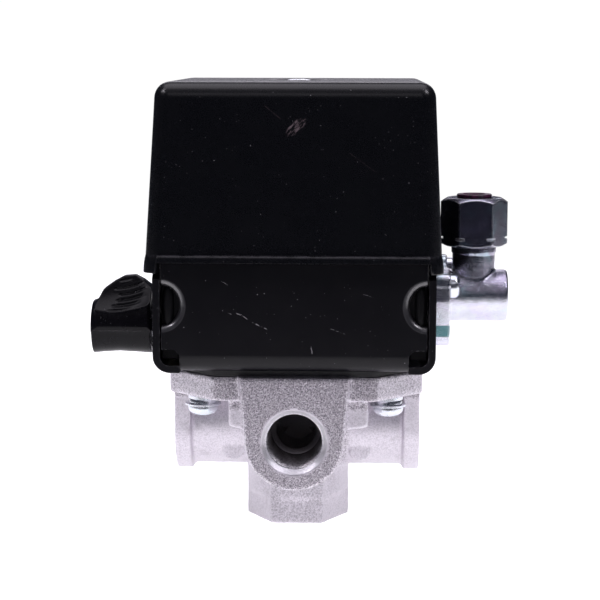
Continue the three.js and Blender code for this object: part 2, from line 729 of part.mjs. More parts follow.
const diffSpring = spring({
  radius: 3,
  wire: 0.9,
  z: [LEVER_Z1 + GAP, 61],
  turns: 6.5,
  perTurn: 7,
  sides: 4,
});
const diffSeat = ringLathe(rectangle([2.2, 4.1], [61.02, DIFF_SEAT_TOP]), 24);
const diffNut = hexNut(7, [DIFF_SEAT_TOP + GAP, 65.8], 2.1, 20);
const diffPosition = [...DIFF_STUD, 0];
add("differential_stud", stud(2, 72), "zinc", diffPosition);
add("differential_spring", diffSpring, "spring_steel", diffPosition);
add("differential_seat", diffSeat, "zinc", diffPosition);
add("differential_nut", diffNut, "zinc", diffPosition);

// ---- earth screws on the frame's floor
const earthScrew = geometryOf(panScrew({ shankR: 1.95, length: 1.55, headR: 3.5, headH: 2.4 }));
[-1, 1].forEach((side, k) => {
  const position = [side * EARTH_SCREW[0], EARTH_SCREW[1], FLOOR_Z + 0.03];
  add(`earth_screw_${k + 1}`, earthScrew, "green", position);
});

// ---------------------------------------------------------------- auto/off knob
function knob() {
  const innerX = -34.5;
  // r, x
  const hub = [
    [0, -49.0], [6.0, -49.0], [6.3, -48.5], [6.1, -46.5],
    [5.8, -42.5], [6.1, -37.5], [6.3, innerX], [0, innerX],
  ];
  // raised grip above the hub: x, z
  const grip = [
    [-47.4, KNOB_AXIS_Z], [-47.3, 50.9], [-45.4, 55.2], [-43.2, 56.5], [-40.3, 57.8],
    [-38.3, 57.8], [-36.6, 56.6], [innerX, 54.8], [innerX, KNOB_AXIS_Z],
  ];
  return cut(
    join(
      toX(lathe(hub), KNOB_AXIS_Z),
      prismY(rounded(grip, [0, 0.5, 1, 1, 1.5, 1.5, 1, 0.3, 0], 1), [-5.7, 5.7]),
    ),
    cylinderX(3.06, [-44.2, -31], [0, KNOB_AXIS_Z], 20),
  );
}
add("knob", knob(), "black_plastic");

function knobShaft() {
  // r, x: knob end, collar outside the frame, clip groove, thin inner end
  const profile = [
    [0, -44], [3.0, -44], [3.0, -34.4], [5.0, -34.4], [5.0, -31.2],
    [3.05, -31.2], [3.05, -28.4], [2.4, -28.4], [2.4, -27.6], [3.0, -27.6],
    [3.0, -19.5], [1.6, -19.5], [1.6, -7.4], [0, -7.4],
  ];
  const flat = box([-13, -7], [-2, 2], [KNOB_AXIS_Z + 0.7, KNOB_AXIS_Z + 3]);
  return cut(toX(lathe(profile, 16), KNOB_AXIS_Z), flat);
}
add("knob_shaft", knobShaft(), "zinc");

// open ring in the shaft's groove, its gap to the rear
const shaftClip = cut(
  ringLathe(rectangle([2.5, 3.6], [-28.35, -27.65]), 20),
  box([-1.6, 1.6], [0.4, 6], [-29, -27]),
);
add("shaft_clip", toX(shaftClip, KNOB_AXIS_Z), "spring_steel");

// ---------------------------------------------------------------- unloader valve
function unloaderBody() {
  // mounting plate: y, z
  const plate = [
    [-13, 42.5], [13.2, 42.5], [14.1, 54.0], [14.1, 61.4],
    [7.2, 61.4], [5.8, 59.2], [-13, 59.2],
  ];
  // r, x
  const barrel = [[0, 34], [6.1, 34], [6.1, VALVE_END - 0.8], [5.3, VALVE_END], [0, VALVE_END]];
  const neck = [NECK_X, 0];
  return cut(
    join(
      prismX(rounded(plate, [3, 3, 3, 3.4, 2.5, 1.5, 3], 3), [HALF_X + THIN_GAP, VALVE_PLATE_X]),
      toX(lathe(barrel, 28), VALVE_Z),
      cylinderZ(4.95, [VALVE_Z, 64], neck),
      cylinderZ(5.2, [63, 64.66], neck),
      cylinderZ(4.8, [64, NECK_TOP], neck),
    ),
    cylinderX(1.5, [30, 38.1], VALVE_AXIS, 20),
    cylinderX(3.6, [38, VALVE_END + 1], VALVE_AXIS, 20),
    cylinderZ(2, [VALVE_Z, NECK_TOP + 1], neck, 20),
    ...VALVE_SCREWS.map((place) => cylinderX(1.7, [30, 36], place, 12)),
  );
}
add("unloader_body", unloaderBody(), "zinc");

function unloaderNut() {
  const height = 11.3;
  // r, z of the turned envelope that takes off the hexagon's corners
  const envelope = [[0, 0], [7.2, 0], [8.0, 0.6], [8.0, 10.4], [6.9, height], [0, height]];
  return cut(
    hexagonZ(13.7, [0, height]).intersect(lathe(envelope)),
    cylinderZ(4.95, [-1, 8.4]),
    cylinderZ(3.3, [8, 12], [0, 0], 20),
  );
}
add("unloader_nut", unloaderNut(), "zinc", [NECK_X, 0, 64.7]);

// r, z
const FERRULE_PROFILE = [[3.2, NECK_TOP + GAP], [4.6, NECK_TOP + GAP], [4.2, 73.0], [3.2, 73.0]];
const SLEEVE_PROFILE = [
  [2.6, 73.6], [3.2, 73.6], [3.2, 76.03], [4.1, 76.03], [4.1, 76.85], [2.6, 76.85],
];
add("unloader_ferrule", ringLathe(FERRULE_PROFILE, 20), "brass", [NECK_X, 0, 0]);
add("unloader_sleeve", ringLathe(SLEEVE_PROFILE, 20), "dark_plastic", [NECK_X, 0, 0]);

// pin with a round nose towards the pressure lever and a poppet on the seat
function unloaderPin() {
  const radius = 1.4;
  const noseCentre = 28.39;
  const noseSteps = 3;
  const nose = [];
  for (let k = 0; k <= noseSteps; k++) {
    const angle = (Math.PI / 2) * (k / noseSteps);
    nose.push([radius * Math.sin(angle), noseCentre - radius * Math.cos(angle)]);
  }
  const poppet = [[radius, 38.15], [3.0, 38.15], [3.0, 39.4], [2.0, 40.6], [0, 40.6]];
  return toX(lathe([...nose, ...poppet], 16), VALVE_Z);
}
add("unloader_pin", unloaderPin(), "brass");

const unloaderSpring = spring({
  radius: 2.5,
  wire: 0.5,
  z: [41.4, 46.3],
  turns: 4.5,
  perTurn: 7,
  sides: 4,
});
add("unloader_spring", toX(unloaderSpring, VALVE_Z), "spring_steel");

// slotted plug with a blind hole in its outer end; r, x
const PLUG_PROFILE = [[0, 46.4], [3.5, 46.4], [3.5, 48.8], [1.1, 48.8], [1.1, 47.4], [0, 47.4]];
const unloaderPlug = cut(
  toX(lathe(PLUG_PROFILE, 16), VALVE_Z),
  box([48.1, 50], [-4, 4], [VALVE_Z - 0.45, VALVE_Z + 0.45]),
);
add("unloader_plug", unloaderPlug, "brass");

const valveScrew = geometryOf(panScrew({ shankR: 1.48, length: 6.4, headR: 2.85, headH: 2.4 }));
VALVE_SCREWS.forEach((place, k) => {
  const position = [VALVE_PLATE_X + GAP, ...place];
  add(`unloader_screw_${k + 1}`, valveScrew, "zinc", position, [0, Math.PI / 2, 0]);
});

// ---------------------------------------------------------------- moulded cover
const COVER_Z0 = 61.7; // lowest edge of the cover's side skirts
const COVER_LIP = 64; // lower edge of the cover's front and rear walls
const COVER_TOP = 103.2;
const COVER_X = 32.45; // half width of the cover at its lower edge
const COVER_Y = 34.9; // half depth of the cover at its lower edge
const COVER_WALL = 1.25;
const COVER_DRAFT = 0.047; // inward slope of every wall, mm per mm

// block with rounded vertical edges and a rounded top edge, drawn in by the draft angle
function draftedBlock({ halfX, halfY, cornerR, z0, z1, edgeR }) {
  const flatX = halfX - edgeR;
  const flatY = halfY - edgeR;
  const outline = rounded(
    rectangle([-flatX, flatX], [-flatY, flatY]),
    Math.max(cornerR - edgeR, 0.3),
    3,
  );
  const block = new THREE.ExtrudeGeometry(shapeOf(outline), {
    depth: z1 - z0 - edgeR,
    bevelEnabled: true,
    bevelSize: edgeR,
    bevelThickness: edgeR,
    bevelSegments: 3,
    curveSegments: 1,
  });
  block.translate(0, 0, z0);
  const points = block.attributes.position;
  for (let k = 0; k < points.count; k++) {
    const inset = COVER_DRAFT * (points.getZ(k) - COVER_Z0);
    points.setX(k, points.getX(k) * (1 - inset / halfX));
    points.setY(k, points.getY(k) * (1 - inset / halfY));
  }
  return solid(block);
}

function cover() {
  const outside = draftedBlock({
    halfX: COVER_X,
    halfY: COVER_Y,
    cornerR: 3.6,
    z0: COVER_Z0 - 4,
    z1: COVER_TOP,
    edgeR: 3.2,
  });
  const inside = draftedBlock({
    halfX: COVER_X - COVER_WALL,
    halfY: COVER_Y - COVER_WALL,
    cornerR: 2.4,
    z0: COVER_Z0 - 9,
    z1: COVER_TOP - COVER_WALL,
    edgeR: 2,
  });
  // straight rim that slips over the frame
  const rimX = HALF_X + 0.2;
  const rimY = HALF_Y + 0.2;
  const rim = prismZ(rounded(rectangle([-rimX, rimX], [-rimY, rimY]), 2), [COVER_Z0 - 5, 69]);
  const shell = cut(
    outside,
    box([-50, 50], [-50, 50], [COVER_Z0 - 12, COVER_Z0]),
    box([-FLAP_X - 0.4, FLAP_X + 0.4], [-50, 50], [COVER_Z0 - 12, COVER_LIP]),
    inside,
    rim,
  );
  const lip = box([-29, 29], [34.3, 35.4], [COVER_LIP, COVER_LIP + 1.7]);
  const screwBoss = cylinderZ(8.2, [99.5, 102.2], [0, 0], 28);
  return cut(
    join(shell, ...bothY(lip), screwBoss),
    cylinderZ(5.6, [101.1, COVER_TOP + 1], [0, 0], 28, 6.6),
    cylinderZ(2.3, [99, 102], [0, 0], 20),
  );
}
add("cover", cover(), "black_plastic");

const coverScrew = panScrew({ shankR: 1.95, length: 11.5, headR: 3.9, headH: 2.3, segments: 16 });
add("cover_screw", coverScrew, "zinc", [0, 0, 101.15]);

export default object;
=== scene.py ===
"""Looks of a pressure switch, built around its CAD frame.

A cast manifold stands on a hexagonal foot with the tank port, and has one port in front (-Y) and one
on each side. On its flange sits a folded steel frame under a black cover, with the auto/off knob on
the left (-X) and the unloader valve on the right (+X).

Shapes are made in millimetres, +Z up, origin at the tank port's mouth, and are scaled to metres when
a piece is finished. A profile is a list of (radius, height) points.
"""

import json
from contextlib import contextmanager
from math import acos, atan2, copysign, cos, floor, hypot, pi, radians, sin, sqrt, tan

import bmesh
import bpy
import numpy as np
from mathutils import Matrix, Vector

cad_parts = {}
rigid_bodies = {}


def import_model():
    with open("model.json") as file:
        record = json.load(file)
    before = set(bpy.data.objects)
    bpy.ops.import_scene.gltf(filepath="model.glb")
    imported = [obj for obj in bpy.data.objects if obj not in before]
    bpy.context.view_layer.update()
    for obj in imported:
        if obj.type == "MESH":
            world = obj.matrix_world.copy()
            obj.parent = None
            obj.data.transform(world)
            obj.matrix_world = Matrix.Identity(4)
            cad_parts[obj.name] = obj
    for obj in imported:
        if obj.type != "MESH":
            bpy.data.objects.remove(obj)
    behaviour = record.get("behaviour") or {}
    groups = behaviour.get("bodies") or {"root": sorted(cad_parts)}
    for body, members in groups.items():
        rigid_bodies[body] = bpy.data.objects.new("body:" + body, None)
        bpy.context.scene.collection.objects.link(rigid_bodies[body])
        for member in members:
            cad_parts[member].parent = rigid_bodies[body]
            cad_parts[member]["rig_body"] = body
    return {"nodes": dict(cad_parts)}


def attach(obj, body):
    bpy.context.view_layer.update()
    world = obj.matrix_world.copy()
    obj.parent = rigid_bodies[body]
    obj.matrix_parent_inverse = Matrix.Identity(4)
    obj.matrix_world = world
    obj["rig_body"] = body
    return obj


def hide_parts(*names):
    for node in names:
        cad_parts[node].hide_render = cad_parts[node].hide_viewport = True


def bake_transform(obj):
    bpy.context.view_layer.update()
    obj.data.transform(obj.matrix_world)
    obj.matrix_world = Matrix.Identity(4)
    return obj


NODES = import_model()["nodes"]
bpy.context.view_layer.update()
MM = 0.001
SIDES = (-1, 1)

# manifold
FRONT_Z, SIDE_Z = 23.6, 22.5  # heights of the ports
FRONT_Y, SIDE_X = -31, 28.5  # mouths of the ports
PORT_RADIUS = 7.62
PORT_PITCH = 25.4 / 18
FLANGE_HOLES = [(i * 21, j * 20.5) for i in SIDES for j in SIDES]

# folded frame
SHEET = 1.6
HALF_X, HALF_Y = 31.1, 33.4
BASE_Z = 39.5
BASE_TOP = BASE_Z + SHEET
OPENING_X, OPENING_Z = 29.2, 54.4  # oval openings at the four corners
OPENING_A, OPENING_B, OPENING_ROUND = 3.9, 4.35, 1.5
EARTH_X, EARTH_Y = 24.4, 25.6
GROMMET_X, GROMMET_Z = 14, 54

# mechanism and valve
ADJUSTER_X = 17.5
DIFFERENTIAL_Y = -15.5
KNOB_Z, VALVE_Z = 44.9, 52.9
NECK_X = 41.1
VALVE_SCREWS = ((-8.8, 56.2), (10.5, 57.9))  # (y, z)


# ==== mesh tools ==================================================================================
def link(mesh, name):
    part = bpy.data.objects.new(name, mesh)
    bpy.context.scene.collection.objects.link(part)
    return part


@contextmanager
def edited(mesh):
    edit = bmesh.new()
    edit.from_mesh(mesh)
    yield edit
    edit.to_mesh(mesh)
    edit.free()


def build(name, verts, faces):
    """Closed mesh object with its normals turned outwards."""
    mesh = bpy.data.meshes.new(name)
    mesh.from_pydata(verts, [], faces)
    with edited(mesh) as edit:
        bmesh.ops.recalc_face_normals(edit, faces=edit.faces)
        if edit.calc_volume(signed=True) < 0:
            bmesh.ops.reverse_faces(edit, faces=edit.faces)
    return link(mesh, name)


def apply_modifiers(part):
    depsgraph = bpy.context.evaluated_depsgraph_get()
    mesh = bpy.data.meshes.new_from_object(
        part.evaluated_get(depsgraph), preserve_all_data_layers=True, depsgraph=depsgraph
    )
    part.modifiers.clear()
    old = part.data
    part.data = mesh
    bpy.data.meshes.remove(old)


def drop(part):
    mesh = part.data
    bpy.data.objects.remove(part)
    if mesh.users == 0:
        bpy.data.meshes.remove(mesh)


def boolean(part, tool, operation):
    """Changes part by tool and removes tool; the exact solver steps in if the first does nothing."""
    count = len(part.data.vertices)
    backup = part.data.copy()
    for solver in ("MANIFOLD", "EXACT"):
        modifier = part.modifiers.new("cut", "BOOLEAN")
        modifier.operation, modifier.object, modifier.solver = operation, tool, solver
        apply_modifiers(part)
        changed = len(part.data.vertices) != count or operation == "UNION"
        if len(part.data.polygons) and changed:
            break
        part.data = backup.copy()
    bpy.data.meshes.remove(backup)
    drop(tool)


def cut(part, *tools):
    for tool in tools:
        boolean(part, tool, "DIFFERENCE")


def join(part, tool):
    boolean(part, tool, "UNION")


def bore(part, profile, segments=48, matrix=None):
    cut(part, lathe("tool", profile, segments, matrix))


def hole(part, radius, low, high, segments, matrix):
    bore(part, [(0, low), (radius, low), (radius, high), (0, high)], segments, matrix)


def dissolve(part):
    """Merges coincident points and flat faces left by the cuts."""
    with edited(part.data) as edit:
        bmesh.ops.remove_doubles(edit, verts=edit.verts, dist=0.0008)
        bmesh.ops.dissolve_degenerate(edit, dist=0.0008, edges=edit.edges)
        bmesh.ops.dissolve_limit(
            edit, angle_limit=radians(0.05), verts=edit.verts, edges=edit.edges
        )
    return part


def add_bevel(part, width, segments, angle):
    edge = part.modifiers.new("edge", "BEVEL")
    edge.width, edge.segments = width, segments
    edge.limit_method, edge.angle_limit = "ANGLE", radians(angle)
    edge.use_clamp_overlap, edge.miter_outer = True, "MITER_ARC"


def bevel(part, width, segments=2, angle=35):
    add_bevel(part, width, segments, angle)
    apply_modifiers(part)
    return part


def add_weighted_normals(part):
    weighted = part.modifiers.new("weighted", "WEIGHTED_NORMAL")
    weighted.keep_sharp, weighted.weight, weighted.mode = True, 60, "FACE_AREA"


def transform(part, matrix):
    part.data.transform(matrix)
    if matrix.determinant() < 0:
        part.data.flip_normals()
    return part


def copied(part, name, matrix):
    mesh = part.data.copy()
    mesh.name = name
    return transform(link(mesh, name), matrix)


def at(x=0, y=0, z=0):
    return Matrix.Translation((x, y, z))


def turn(angle, axis="Z"):
    return Matrix.Rotation(angle, 4, axis)


# turn a shape drawn along +Z towards another direction
TO_X = Matrix(((0, 0, 1, 0), (1, 0, 0, 0), (0, 1, 0, 0), (0, 0, 0, 1)))
TO_Y = Matrix(((0, 1, 0, 0), (0, 0, 1, 0), (1, 0, 0, 0), (0, 0, 0, 1)))
KNOB_AXIS = at(z=KNOB_Z) @ TO_X
VALVE_AXIS = at(z=VALVE_Z) @ TO_X
NECK_AXIS = at(NECK_X)
LEVER_AXIS = at(-24, 0, 47.3) @ TO_Y


# ==== shapes ======================================================================================
def round_poly(points, radius, steps=6):
    """Closed outline with rounded corners; radius is one number or a list, one per corner."""
    out = []
    for i, point in enumerate(points):
        bend = radius[i] if isinstance(radius, list) else radius
        corner = Vector(point)
        if not bend:
            out.append(tuple(corner))
            continue
        before = (Vector(points[i - 1]) - corner).normalized()
        after = (Vector(points[(i + 1) % len(points)]) - corner).normalized()
        half = acos(max(-1, min(1, before.dot(after)))) / 2
        reach = bend / tan(half)
        centre = corner + (before + after).normalized() * (bend / sin(half))
        start, end = corner + before * reach - centre, corner + after * reach - centre
        first = atan2(start.y, start.x)
        sweep = atan2(end.y, end.x) - first
        while sweep > pi:
            sweep -= 2 * pi
        while sweep < -pi:
            sweep += 2 * pi
        for k in range(steps + 1):
            angle = first + sweep * k / steps
            out.append((centre.x + bend * cos(angle), centre.y + bend * sin(angle)))
    return out


def prism(name, outline, axis, low, high):
    """Outline extruded along an axis: X takes (y, z), Y takes (x, z), Z takes (x, y)."""
    n, place = len(outline), "XYZ".index(axis)
    verts = [(*point[:place], w, *point[place:]) for w in (low, high) for point in outline]
    faces = [range(n), range(2 * n - 1, n - 1, -1)]
    faces += [(i, (i + 1) % n, n + (i + 1) % n, n + i) for i in range(n)]
    return build(name, verts, faces)


def block(x0, x1, y0, y1, z0, z1):
    return prism("tool", [(x0, y0), (x1, y0), (x1, y1), (x0, y1)], "Z", z0, z1)


def lathe(name, profile, segments=48, matrix=None, radius_at=None):
    """Solid of revolution about Z; closes on itself unless both ends are on the axis."""
    verts, rings = [], []
    for r, z in profile:
        base = len(verts)
        if r < 1e-9:
            rings.append([base])
            verts.append((0, 0, z))
            continue
        rings.append(range(base, base + segments))
        for k in range(segments):
            angle = 2 * pi * k / segments
            reach = radius_at(r, z, angle) if radius_at else r
            verts.append((reach * cos(angle), reach * sin(angle), z))
    pairs = list(zip(rings, rings[1:]))
    if len(rings[0]) > 1 or len(rings[-1]) > 1:
        pairs.append((rings[-1], rings[0]))
    faces = []
    for a, b in pairs:
        if len(a) == 1 and len(b) == 1:
            continue
        for k in range(segments):
            j = (k + 1) % segments
            if len(a) == 1:
                faces.append((a[0], b[j], b[k]))
            elif len(b) == 1:
                faces.append((a[k], a[j], b[0]))
            else:
                faces.append((a[k], a[j], b[j], b[k]))
    part = build(name, verts, faces)
    return transform(part, matrix) if matrix is not None else part


def hexagon(across_flats, corner, steps=4):
    r = across_flats / sqrt(3)
    points = [(r * cos(k * pi / 3), r * sin(k * pi / 3)) for k in range(6)]
    return round_poly(points, corner, steps) if corner else points


def thread(low, high, major, depth, pitch, taper=0.0, per_turn=8, run_in=1.0):
    """Profile of a screw thread's crest, and the radius function that winds its groove."""
    count = max(4, int(round((high - low) / pitch * per_turn)))

    def major_at(z):
        return major + taper * (z - low)

    def radius_at(r, z, angle):
        in_thread = r > 0 and low - 1e-6 <= z <= high + 1e-6
        if not in_thread or abs(r - major_at(z)) >= 1e-6:
            return r
        phase = z / pitch - angle / (2 * pi)
        wave = abs(2 * (phase - floor(phase)) - 1)
        crest = min(1.0, max(0.0, (wave - 0.08) / 0.84))
        fade = min(1.0, (z - low) / (run_in * pitch), (high - z) / (run_in * pitch))
        return r - depth * (1 - crest * max(0.0, fade))

    heights = [low + (high - low) * k / count for k in range(count + 1)]
    return [(major_at(z), z) for z in heights], radius_at


def cross_recess(size, depth, top):
    """Cutters of a cross recess: two tapered bars."""
    low_z, high_z = top - depth, top + 1
    growth = (high_z - low_z) / depth
    wide, narrow = size * 0.24, size * 0.13
    long, short = size, size * 0.42
    ends = (
        (short, narrow, low_z),
        (short + (long - short) * growth, narrow + (wide - narrow) * growth, high_z),
    )
    faces = [(0, 1, 2, 3), (7, 6, 5, 4), (0, 1, 5, 4), (1, 2, 6, 5), (2, 3, 7, 6), (3, 0, 4, 7)]
    bars = []
    for angle in (0, pi / 2):
        c, s = cos(angle), sin(angle)
        verts = []
        for length, width, z in ends:
            for u, v in ((-length, -width), (length, -width), (length, width), (-length, width)):
                verts.append((u * c - v * s, u * s + v * c, z))
        bars.append(build("bar", verts, faces))
    return bars


def screw(name, shank, length, head_r, head_h, pitch=0.7, washer=0.0, slot=False, segments=36):
    """Pan head screw with a rolled thread: head above z = 0, shank below."""
    rim = head_h * 0.42
    head = [(head_r, washer + 0.12), (head_r, rim)]
    for k in range(1, 9):
        angle = pi / 2 * k / 8
        r = head_r * cos(angle) ** 0.75 if k < 8 else 0.0
        head.append((r, rim + (head_h - rim) * sin(angle)))
    if washer:
        under = [
            (shank, 0.0), (head_r * 1.16, 0.0), (head_r * 1.2, 0.1),
            (head_r * 1.2, washer - 0.1), (head_r * 1.16, washer), (head_r * 0.99, washer + 0.02),
        ]
    else:
        under = [(shank, 0.0), (head_r - 0.12, 0.0)]
    rings, radius_at = thread(-length + shank * 0.45, -0.35, shank, shank * 0.16, pitch, per_turn=6)
    tip = [(0, -length), (shank * 0.6, -length)]
    part = lathe(name, tip + rings + under + head, segments, None, radius_at)
    if slot:
        half = head_r * 0.13
        cut(part, block(-head_r * 2, head_r * 2, -half, half, head_h * 0.62, head_h + 2))
    cut(part, *cross_recess(head_r * 0.52, head_h * 0.62, head_h))
    return part


def coil(name, radius, wire, low, high, turns, per_turn=30, sides=12, x=0, y=0, share=(0.0, 1.0)):
    """Compression spring with closed, ground ends, or a share of its length."""
    first, last, closed = low + wire / 2 + 0.02, high - wire / 2 - 0.02, wire * 1.04
    open_pitch = (last - first - 2 * closed) / (turns - 2)
    n = int(turns * per_turn * (share[1] - share[0]))

    def point(u):
        if u < 1:
            z = first + closed * u
        elif u > turns - 1:
            z = last - closed * (turns - u)
        else:
            z = first + closed + open_pitch * (u - 1)
        angle = u * 2 * pi
        return Vector((radius * cos(angle), radius * sin(angle), z))

    verts = []
    for i in range(n + 1):
        u = turns * (share[0] + (share[1] - share[0]) * i / n)
        centre = point(u)
        tangent = (point(u + 0.01) - point(u - 0.01)).normalized()
        radial = Vector((cos(u * 2 * pi), sin(u * 2 * pi), 0))
        up = tangent.cross(radial).normalized()
        # ground ends are thinner
        half = wire / 2 * min(1.0, 0.62 + min(u, turns - u) * 1.5)
        for k in range(sides):
            angle = 2 * pi * k / sides
            spot = centre + radial * (wire / 2 * cos(angle)) + up * (half * sin(angle))
            verts.append((spot.x + x, spot.y + y, min(max(spot.z, low), high)))
    faces = []
    for i in range(n):
        for k in range(sides):
            j = (k + 1) % sides
            a, b = i * sides, (i + 1) * sides
            faces.append((a + k, a + j, b + j, b + k))
    faces.append(range(sides))
    faces.append(range(n * sides + sides - 1, n * sides - 1, -1))
    return build(name, verts, faces)


# ==== signed distances: cast and moulded shapes with true fillets =================================
def smooth_min(a, b, width):
    share = np.clip(0.5 + 0.5 * (b - a) / width, 0, 1)
    return b + (a - b) * share - width * share * (1 - share)


def smooth_max(a, b, width):
    return -smooth_min(-a, -b, width)


def fuse(distance, *shapes):
    """Union of shapes, each given as (distance, fillet width)."""
    for shape, width in shapes:
        distance = smooth_min(distance, shape, width)
    return distance


def sdf_box(points, x_span, y_span, z_span, rounding=0.0):
    low, high = np.array((x_span, y_span, z_span), float).T
    beyond = np.abs(points - (low + high) / 2) - ((high - low) / 2 - rounding)
    outside = np.linalg.norm(np.maximum(beyond, 0), axis=1)
    return outside + np.minimum(beyond.max(axis=1), 0) - rounding


def sdf_slab(flat, along, low, high, rounding=0.0):
    """2-D distance flat extruded along a coordinate, edges rounded."""
    a = flat + rounding
    b = np.abs(along - (low + high) / 2) - (high - low) / 2 + rounding
    inside = np.minimum(np.maximum(a, b), 0)
    return inside + np.hypot(np.maximum(a, 0), np.maximum(b, 0)) - rounding


def sdf_cylinder(points, axis, centre, radius, low, high, rounding=0.0):
    """Cylinder along axis 0, 1 or 2; centre is in the other two coordinates, in cyclic order."""
    u, v = points[:, (axis + 1) % 3], points[:, (axis + 2) % 3]
    flat = np.hypot(u - centre[0], v - centre[1]) - radius
    return sdf_slab(flat, points[:, axis], low, high, rounding)


def sdf_polygon(px, py, outline):
    nearest = np.full(px.shape, 1e18)
    sign = np.ones(px.shape)
    for i, (ax, ay) in enumerate(outline):
        bx, by = outline[i - 1]
        ex, ey = bx - ax, by - ay
        wx, wy = px - ax, py - ay
        t = np.clip((wx * ex + wy * ey) / (ex * ex + ey * ey + 1e-18), 0, 1)
        dx, dy = wx - ex * t, wy - ey * t
        nearest = np.minimum(nearest, dx * dx + dy * dy)
        above, below, left = py >= ay, py < by, ex * wy > ey * wx
        crossed = (above & below & left) | (~above & ~below & ~left)
        sign = np.where(crossed, -sign, sign)
    return sign * np.sqrt(nearest)


def sdf_u(across, height, centre, half_top, radius, top):
    """Round-bottomed outline: a disc at height centre, widening to half_top at the top."""
    height = height - centre
    rise, spread = top - centre, half_top - radius
    slope = hypot(spread, rise)
    disc = np.hypot(across, height) - radius
    side = (np.abs(across) - radius) * (rise / slope) + height * (-spread / slope)
    slab = np.maximum(np.maximum(side, height - rise), -height)
    return np.minimum(disc, slab)


def ripple(points, size, scale, seed=0.0):
    """Low, smooth unevenness of a casting."""
    x = points[:, 0] * scale + seed
    y = points[:, 1] * scale + 1.7 * seed
    z = points[:, 2] * scale - seed
    return size * (
        np.sin(1.31 * x + 0.71 * y) * np.sin(1.13 * y - 0.57 * z + 1.0)
        + 0.6 * np.sin(2.3 * z + 1.9 * x + 2.0) * np.sin(2.07 * y + 0.4 * x)
        + 0.4 * np.sin(4.1 * x - 3.3 * z) * np.sin(3.7 * y + 2.9 * z + 0.5)
    )


def sample_grid(field, low, high, step):
    """Field on a regular grid; only the blocks near its surface get true values, the rest a sign."""
    size = 4  # grid points along a block
    blocks = np.ceil((high - low) / step / size).astype(int) + 1
    centres = [low[i] + (np.arange(blocks[i]) * size + (size - 1) / 2) * step for i in range(3)]
    value = field(np.stack(np.meshgrid(*centres, indexing="ij"), -1).reshape(-1, 3))
    near = np.abs(value) < step * size * 0.87 + step * 1.5
    grid = np.where(value < 0, -1.0, 1.0).reshape(blocks)
    grid = grid.repeat(size, 0).repeat(size, 1).repeat(size, 2)
    starts = np.argwhere(near.reshape(blocks)) * size
    offsets = np.argwhere(np.ones((size, size, size)))
    for first in range(0, len(starts), 6000):  # in batches, to spare memory
        index = (starts[first : first + 6000, None, :] + offsets[None]).reshape(-1, 3)
        grid[tuple(index.T)] = field(low + index * step)
    return grid


def net_points(grid):
    """Cells that the surface crosses, and its mean crossing point in each, in grid steps."""
    inside = grid < 0
    nx, ny, nz = grid.shape
    corners = np.argwhere(np.ones((2, 2, 2)))
    count = np.zeros((nx - 1, ny - 1, nz - 1), np.int8)
    for i, j, k in corners:
        count += inside[i : nx - 1 + i, j : ny - 1 + j, k : nz - 1 + k]
    active = (count > 0) & (count < 8)
    cells = np.argwhere(active)
    values = [grid[tuple((cells + corner).T)] for corner in corners]
    total = np.zeros((len(cells), 3))
    number = np.zeros(len(cells))
    for a in range(8):
        for b in range(a + 1, 8):
            start, edge = corners[a], corners[b] - corners[a]
            if np.abs(edge).sum() != 1:
                continue
            crossed = (values[a] < 0) != (values[b] < 0)
            fall = np.where(crossed, values[a] - values[b], 1)
            share = np.where(crossed, values[a] / fall, 0)
            total += np.where(crossed[:, None], start + share[:, None] * edge, 0)
            number += crossed
    return active, cells, cells + total / number[:, None]


def net_quads(grid, active, count):
    """Quads round every grid edge that the surface crosses."""
    inside = grid < 0
    index = np.full(active.shape, -1, np.int64)
    index[active] = np.arange(count)
    quads = []
    for axis in range(3):
        u, v = (axis + 1) % 3, (axis + 2) % 3
        lower, upper = [slice(None)] * 3, [slice(None)] * 3
        lower[axis], upper[axis] = slice(0, -1), slice(1, None)
        a, b = inside[tuple(lower)], inside[tuple(upper)]
        for order, crossed in ((1, a & ~b), (-1, ~a & b)):
            edges = np.argwhere(crossed)
            edges = edges[(edges[:, u] > 0) & (edges[:, v] > 0)]
            edges = edges[(edges[:, u] < grid.shape[u] - 1) & (edges[:, v] < grid.shape[v] - 1)]
            ring = []
            for du, dv in ((-1, -1), (0, -1), (0, 0), (-1, 0)):
                cell = edges.copy()
                cell[:, u] += du
                cell[:, v] += dv
                ring.append(index[tuple(cell.T)])
            quads.append(np.stack(ring, 1)[:, ::order])
    return np.concatenate(quads)


